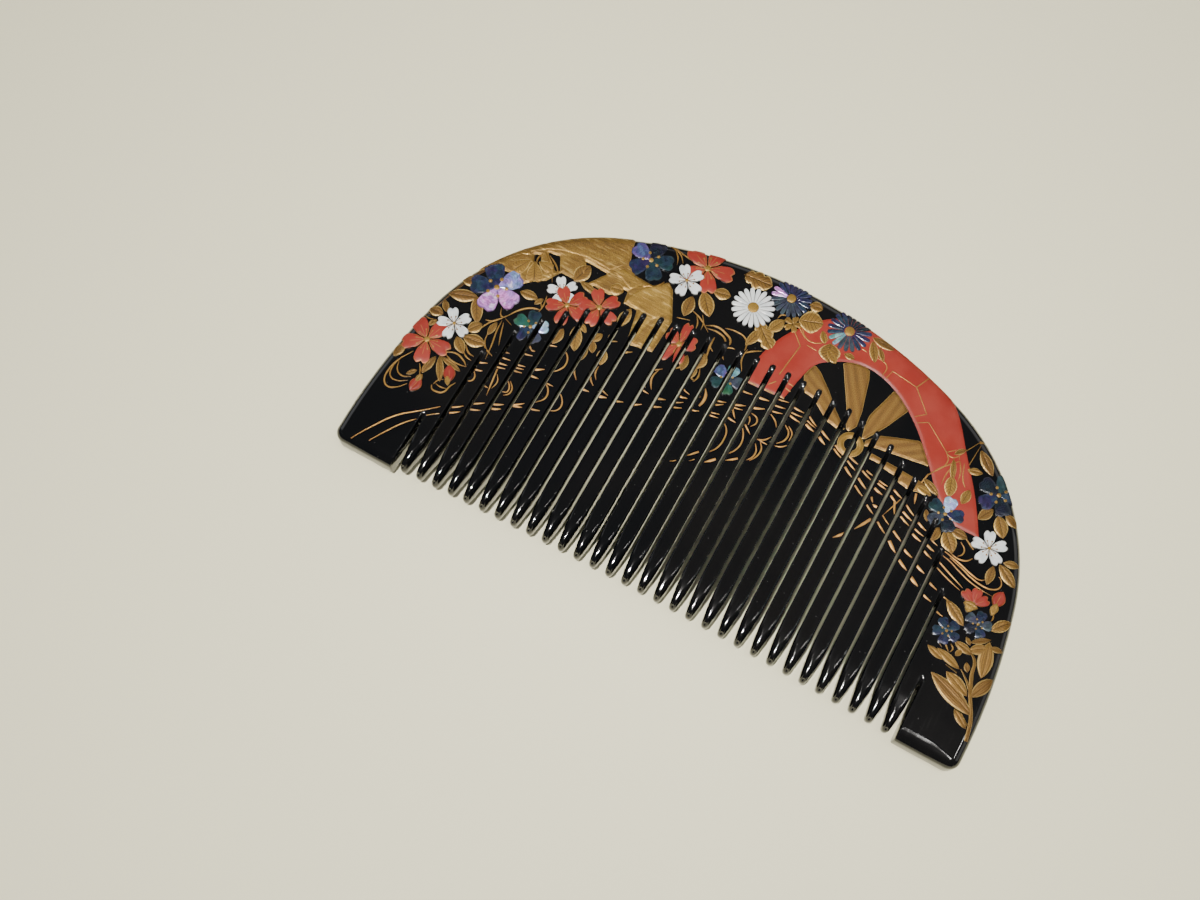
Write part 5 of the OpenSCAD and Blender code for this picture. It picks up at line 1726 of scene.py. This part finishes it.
# Stems and grass between the blossoms
stemLines = {
    (0.5, 0.3): [
        (0.32, (-45.3, 16.6), (-46.6, 14.1), (-46.9, 12.3), (-46.6, 10.7), (-45.7, 10.1), (-44.5, 10.6),
         (-43.4, 11.8)),
        (0.26, (-45.4, 16.4), (-46.3, 14.8), (-46.6, 12.6), (-46.1, 11.6), (-45.0, 11.5), (-43.6, 12.3)),
        (0.26, (-46.3, 14.3), (-45.8, 13.0), (-44.8, 12.5), (-43.5, 13.0)),
        (0.26, (-36.7, 27.4), (-37.6, 26.4), (-38.3, 25.2), (-38.7, 24.0)),
        (0.36, (31.5, 41.8), (32.6, 43.8)), (0.34, (32.7, 40.0), (33.0, 43.5))],
    (0.4, 0.5): [
        (0.28, (-43.5, 15.4), (-42.9, 14.6), (-42.5, 13.6)), (0.26, (-42.9, 15.6), (-42.6, 14.4))],
    (0.5, 0.4): [
        (0.32, (-40.2, 13.4), (-40.0, 12.95), (-39.1, 12.8), (-38.2, 13.2), (-37.8, 14.5), (-37.4, 15.3)),
        (0.26, (-40.1, 13.6), (-39.7, 14.6), (-39.2, 14.9)),
        (0.26, (-39.8, 13.8), (-38.9, 13.7), (-38.0, 13.9))],
    (0.3, 0.3): [
        (0.32, (-41.2, 18.7), (-39.8, 19.3), (-38.2, 18.9), (-37.3, 18.2)),
        (0.26, (-41.2, 18.6), (-40.0, 18.1), (-38.5, 18.0), (-37.3, 18.2)),
        (0.34, (-39.1, 21.2), (-38.2, 20.3), (-37.2, 20.1)),
        (0.30, (-39.2, 20.4), (-38.2, 19.6), (-37.2, 19.4)),
        (0.24, (-47.0, 22.5), (-46.2, 22.2), (-45.3, 22.4)), (0.24, (-46.6, 22.9), (-45.6, 22.9)),
        (0.32, (-6.3, 38.5), (-5.4, 39.5), (-4.5, 39.7)), (0.34, (-6.2, 38.5), (-5.7, 37.9), (-5.2, 37.4)),
        (0.36, (-3.4, 39.5), (-2.2, 40.6), (-0.9, 41.4)), (0.36, (-2.9, 40.6), (-3.0, 39.0), (-2.1, 37.1))],
    (0.4, 0.3): [
        (0.30, (-37.0, 22.5), (-36.0, 21.9), (-34.9, 21.5)),
        (0.28, (-37.3, 24.4), (-36.9, 22.8), (-35.6, 21.6)),
        (0.28, (-36.5, 27.1), (-36.3, 25.1), (-35.9, 23.3), (-35.5, 20.6)),
        (0.30, (-36.1, 26.9), (-35.6, 25.3), (-34.9, 23.4)),
        (0.26, (-36.6, 27.4), (-37.7, 26.3), (-38.7, 26.0)), (0.30, (-36.2, 27.6), (-34.9, 27.1)),
        (0.30, (-20.5, 50.0), (-18.7, 49.5), (-17.6, 48.3)),
        (0.28, (-20.3, 50.2), (-18.8, 48.9), (-18.3, 47.7)),
        (0.26, (-20.0, 50.1), (-17.4, 49.5), (-15.2, 49.3)),
        (0.32, (-12.8, 42.2), (-11.2, 41.6), (-9.2, 40.2)), (0.34, (-14.3, 40.1), (-12.4, 40.6)),
        (0.28, (-11.9, 41.8), (-11.2, 40.7), (-11.0, 39.7)),
        (0.26, (-11.2, 42.3), (-10.5, 41.2), (-10.3, 40.0)),
        (0.34, (-20.1, 32.4), (-21.0, 31.9), (-21.5, 31.2)),
        (0.40, (-17.4, 32.0), (-18.3, 31.4), (-19.0, 30.3)),
        (0.30, (40.2, 15.4), (40.5, 14.8), (41.1, 14.2)), (0.30, (41.0, 15.3), (41.5, 14.8), (41.3, 14.2)),
        (0.24, (39.6, 14.6), (40.1, 14.3)), (0.30, (44.4, 22.0), (44.6, 21.2), (44.5, 20.8)),
        (0.30, (45.1, 19.6), (45.6, 20.1))],
    (0.3, 0.4): [
        (0.30, (-37.6, 28.8), (-36.8, 27.6), (-36.0, 28.4)),
        (0.30, (38.3, 28.9), (37.7, 29.3), (36.2, 30.2))],
    (0.4, 0.4): [
        (0.34, (-36.2, 28.1), (-35.0, 29.9), (-33.6, 31.0), (-32.4, 31.3)),
        (0.28, (-32.5, 30.7), (-32.4, 32.1), (-32.7, 33.8)),
        (0.26, (-32.4, 31.6), (-33.1, 32.4), (-34.0, 32.3)),
        (0.34, (-8.8, 38.5), (-8.0, 38.3), (-7.2, 37.8)), (0.34, (-7.6, 34.6), (-7.2, 33.2), (-7.5, 32.2)),
        (0.32, (-8.8, 33.6), (-8.0, 32.6), (-7.3, 32.4)),
        (0.30, (-9.9, 34.6), (-10.3, 33.2), (-11.2, 32.5)),
        (0.32, (-0.2, 48.2), (-1.0, 48.0), (-1.3, 47.2))],
    (0.3, 0.5): [
        (0.40, (-10.0, 41.0), (-8.6, 41.6), (-6.8, 41.3), (-5.6, 40.4), (-6.0, 39.2)),
        (0.34, (-9.6, 40.7), (-7.9, 40.9), (-6.4, 40.3), (-6.1, 39.4)),
        (0.30, (-7.3, 42.0), (-5.9, 42.3), (-4.0, 42.0), (-3.25, 40.8), (-3.3, 39.7))],
    (0.5, 0.5): [
        (0.40, (-8.0, 39.9), (-7.9, 38.1), (-7.5, 36.2))],
    (0.9, 0.5): [
        (0.60, (32.6, 43.9), (33.2, 44.1))],
}


def commas(rows):
    return [(width, (x0, y0), ((x0 + x1) / 2, (y0 + y1) / 2 - 0.04), (x1, y1))
            for x0, y0, x1, y1, width in rows]


def rimPath(arc, depth, steps=4):
    # points along the left of the outline, from the crown down
    (cx, cy), radius, start, end = arc[:4]
    turns = [start + (end - start) * i / steps for i in range(steps + 1)]
    return [(-cx - (radius - depth) * math.sin(a), cy + (radius - depth) * math.cos(a)) for a in turns]


# painted sheen: a brown band on the rounded shoulder of the outline's left side
rimSheenPath = {(1.0, 0.1): [(0.75, *rimPath(outlineArcs[1], 0.82))]}
water = {**waterLines, (1.0, 0.25): commas(toothStrokes)}


def brushPiece(name, lines, finish, *nodes, **look):
    makePiece(name, [strokeSheet(lines, finish, **look)], finish, "gold", *nodes)


brushPiece("rim_dusting", rimSheenPath, rimSheenBrown, base=0.03, height=0.02, tone=0.7)
brushPiece("rim_lines", rimLines, rimLineGold, base=0.15, height=0.035)
brushPiece("water_brush_lines", water, lineGold, "water_lines", width=0.72)
brushPiece("stem_lines", stemLines, stemGold, width=0.85, base=0.05, height=0.08)
print("lines made")


# Leaves: (x, y, length, width, turn)
leaves = {
    "leaves_left": (
        (-43.5, 27.8, 4.5, 2.0, 20), (-40.6, 26.8, 4.5, 1.8, -58), (-43.9, 30.4, 2.6, 1.8, 5),
        (-35.1, 32.6, 2.9, 1.5, 5), (-44.9, 25.1, 2.1, 1.0, -50), (-45.7, 23.7, 2.4, 1.6, 5),
        (-39.4, 24.2, 2.4, 1.8, 55), (-38.4, 22.3, 3.5, 2.0, 8), (-39.9, 20.7, 2.9, 1.6, -40),
        (-37.1, 25.3, 2.5, 1.0, 85), (-47.2, 15.8, 2.5, 1.4, 80), (-45.2, 21.9, 1.6, 0.8, 60),
        (-39.5, 17.5, 3.7, 0.9, -10), (-42.2, 15.9, 3.3, 1.1, 82), (-40.5, 16.1, 4.1, 1.1, -60),
        (-43.8, 13.7, 1.7, 0.7, 50), (-33.3, 32.4, 1.6, 0.8, 60)),
    "leaves_middle": (
        (-13.7, 42.5, 3.5, 1.9, 95), (-11.5, 44.1, 4.2, 2.3, -50), (-10.2, 46.7, 2.7, 1.9, 12),
        (-0.9, 46.0, 3.1, 1.8, 65), (-2.9, 42.9, 4.0, 1.5, 72), (-28.1, 28.9, 2.9, 1.5, 84),
        (-25.7, 29.9, 4.2, 1.9, -66), (-23.5, 28.5, 2.6, 1.0, 98), (-20.9, 29.2, 2.7, 1.6, -72),
        (-23.0, 31.5, 2.0, 1.2, 62), (-22.9, 29.9, 2.0, 1.2, -60), (-21.2, 32.6, 1.8, 0.9, 80),
        (-8.0, 35.6, 2.8, 1.8, 86), (-10.0, 34.2, 2.6, 1.2, 95), (-8.3, 33.5, 2.4, 1.3, 90),
        (2.9, 51.6, 2.1, 1.7, 8), (-25.6, 31.9, 2.0, 0.9, -30)),
    "leaves_right": (
        (34.8, 41.5, 4.1, 1.6, -42), (33.8, 39.5, 2.4, 1.1, 15), (37.7, 34.5, 2.7, 1.6, 60),
        (40.3, 33.8, 3.4, 2.0, -55), (41.3, 35.3, 2.3, 1.4, -25), (35.6, 30.0, 2.6, 1.4, 0),
        (34.8, 28.3, 3.4, 2.2, -48), (32.7, 28.4, 2.3, 1.4, 85), (43.8, 29.5, 2.3, 1.1, 12),
        (43.9, 27.7, 3.8, 1.6, -33), (41.8, 26.7, 2.9, 1.3, 95), (46.0, 20.8, 3.2, 1.6, 50),
        (39.7, 19.5, 4.2, 1.6, -33), (30.5, 30.3, 1.8, 0.8, -60)),
    "branch_right": (
        (43.8, 9.1, 7.7, 2.3, -21), (43.9, 10.7, 4.2, 1.8, -24), (47.1, 11.8, 4.0, 1.7, 66),
        (46.0, 15.5, 5.2, 2.1, -79), (44.6, 16.4, 2.8, 1.5, 35), (44.4, 17.6, 2.9, 0.8, 35),
        (46.7, 17.5, 1.9, 0.8, 10), (42.7, 15.6, 2.9, 1.2, -12), (41.5, 13.3, 4.0, 1.2, -18),
        (39.6, 13.2, 2.8, 1.0, -18), (46.2, 6.6, 3.0, 1.1, -35), (42.4, 14.7, 1.3, 0.8, 70),
        (42.9, 16.8, 1.3, 0.6, -40), (44.2, 13.4, 1.4, 0.8, -60)),
}
lobedLeaves = {"leaves_middle": ((-6.7, 51.3, 4.4, 3.2, 4), (-1.8, 43.8, 4.8, 2.8, -40))}
stems = {"branch_right": {
    (1.0, 0.4): [
        (0.50, (48.1, 4.3), (47.5, 7.2), (46.2, 10.0), (45.2, 12.7), (44.7, 14.8), (43.7, 15.6))],
    (0.6, 0.3): [
        (0.30, (46.0, 10.3), (44.9, 11.7), (43.6, 12.8)), (0.30, (47.7, 6.2), (46.9, 6.6), (46.1, 7.4)),
        (0.26, (43.3, 12.1), (41.5, 12.4))],
}}
leafTone = {"leaves_left": 0.6, "leaves_middle": 1.0, "leaves_right": 0.72, "branch_right": 0.85}
rimLeaves = (
    # thin leaves in darker gold over the red rim, and the shapes beside it
    (14.1, 51.0, 3.7, 1.4, -5), (13.4, 49.2, 3.5, 1.4, -60), (14.6, 49.3, 2.5, 0.8, -50),
    (31.7, 35.8, 3.3, 1.8, -75), (34.2, 35.4, 2.5, 1.4, 85), (29.3, 34.4, 3.2, 1.1, -25),
    (28.6, 33.4, 2.6, 1.1, -8), (10.6, 46.8, 1.7, 1.0, 0), (6.0, 47.7, 2.2, 1.1, -55),
    (3.3, 49.0, 3.7, 3.6, 20), (7.8, 45.9, 3.0, 3.2, -70), (8.3, 45.6, 2.6, 1.6, -35),
    (31.0, 38.2, 3.4, 0.9, -70), (30.8, 41.2, 2.0, 0.8, 50),
)
goldFlower = (1.1, 47.4, 1.45, 20)   # x, y, radius, turn


def makeLeaves():
    for node, rows in leaves.items():
        finish = branchGold if node == "branch_right" else leafGold
        sheets = [leafSheet(rows, leafUnit, finish)]
        if node in lobedLeaves:
            sheets.append(leafSheet(lobedLeaves[node], lobedUnit, leafGold, 0.12, 0.10))
        if node in stems:
            sheets.append(strokeSheet(stems[node], leafGold, base=0.08, height=0.08))
        for sheet in sheets:
            sheet[0][:, toneAt] *= leafTone[node]
        makePiece(node + "_gold", sheets, finish, "gold", node)
    x, y, radius, turn = goldFlower
    flower, number = ringSheet(cherryUnit, 5, radius, x, y, turn, 1.0, leafGold, 0.10, 0.08, 0.4)
    makePiece("rim_leaves", [leafSheet(rimLeaves, leafUnit, leafGold, 0.15, 0.07), flower], leafGold, "gold")


makeLeaves()
for unit in (cherryUnit, shellUnit, rayUnit, leafUnit, lobedUnit, stamenUnit, beadUnit):
    bpy.data.objects.remove(unit)
print("leaves made")
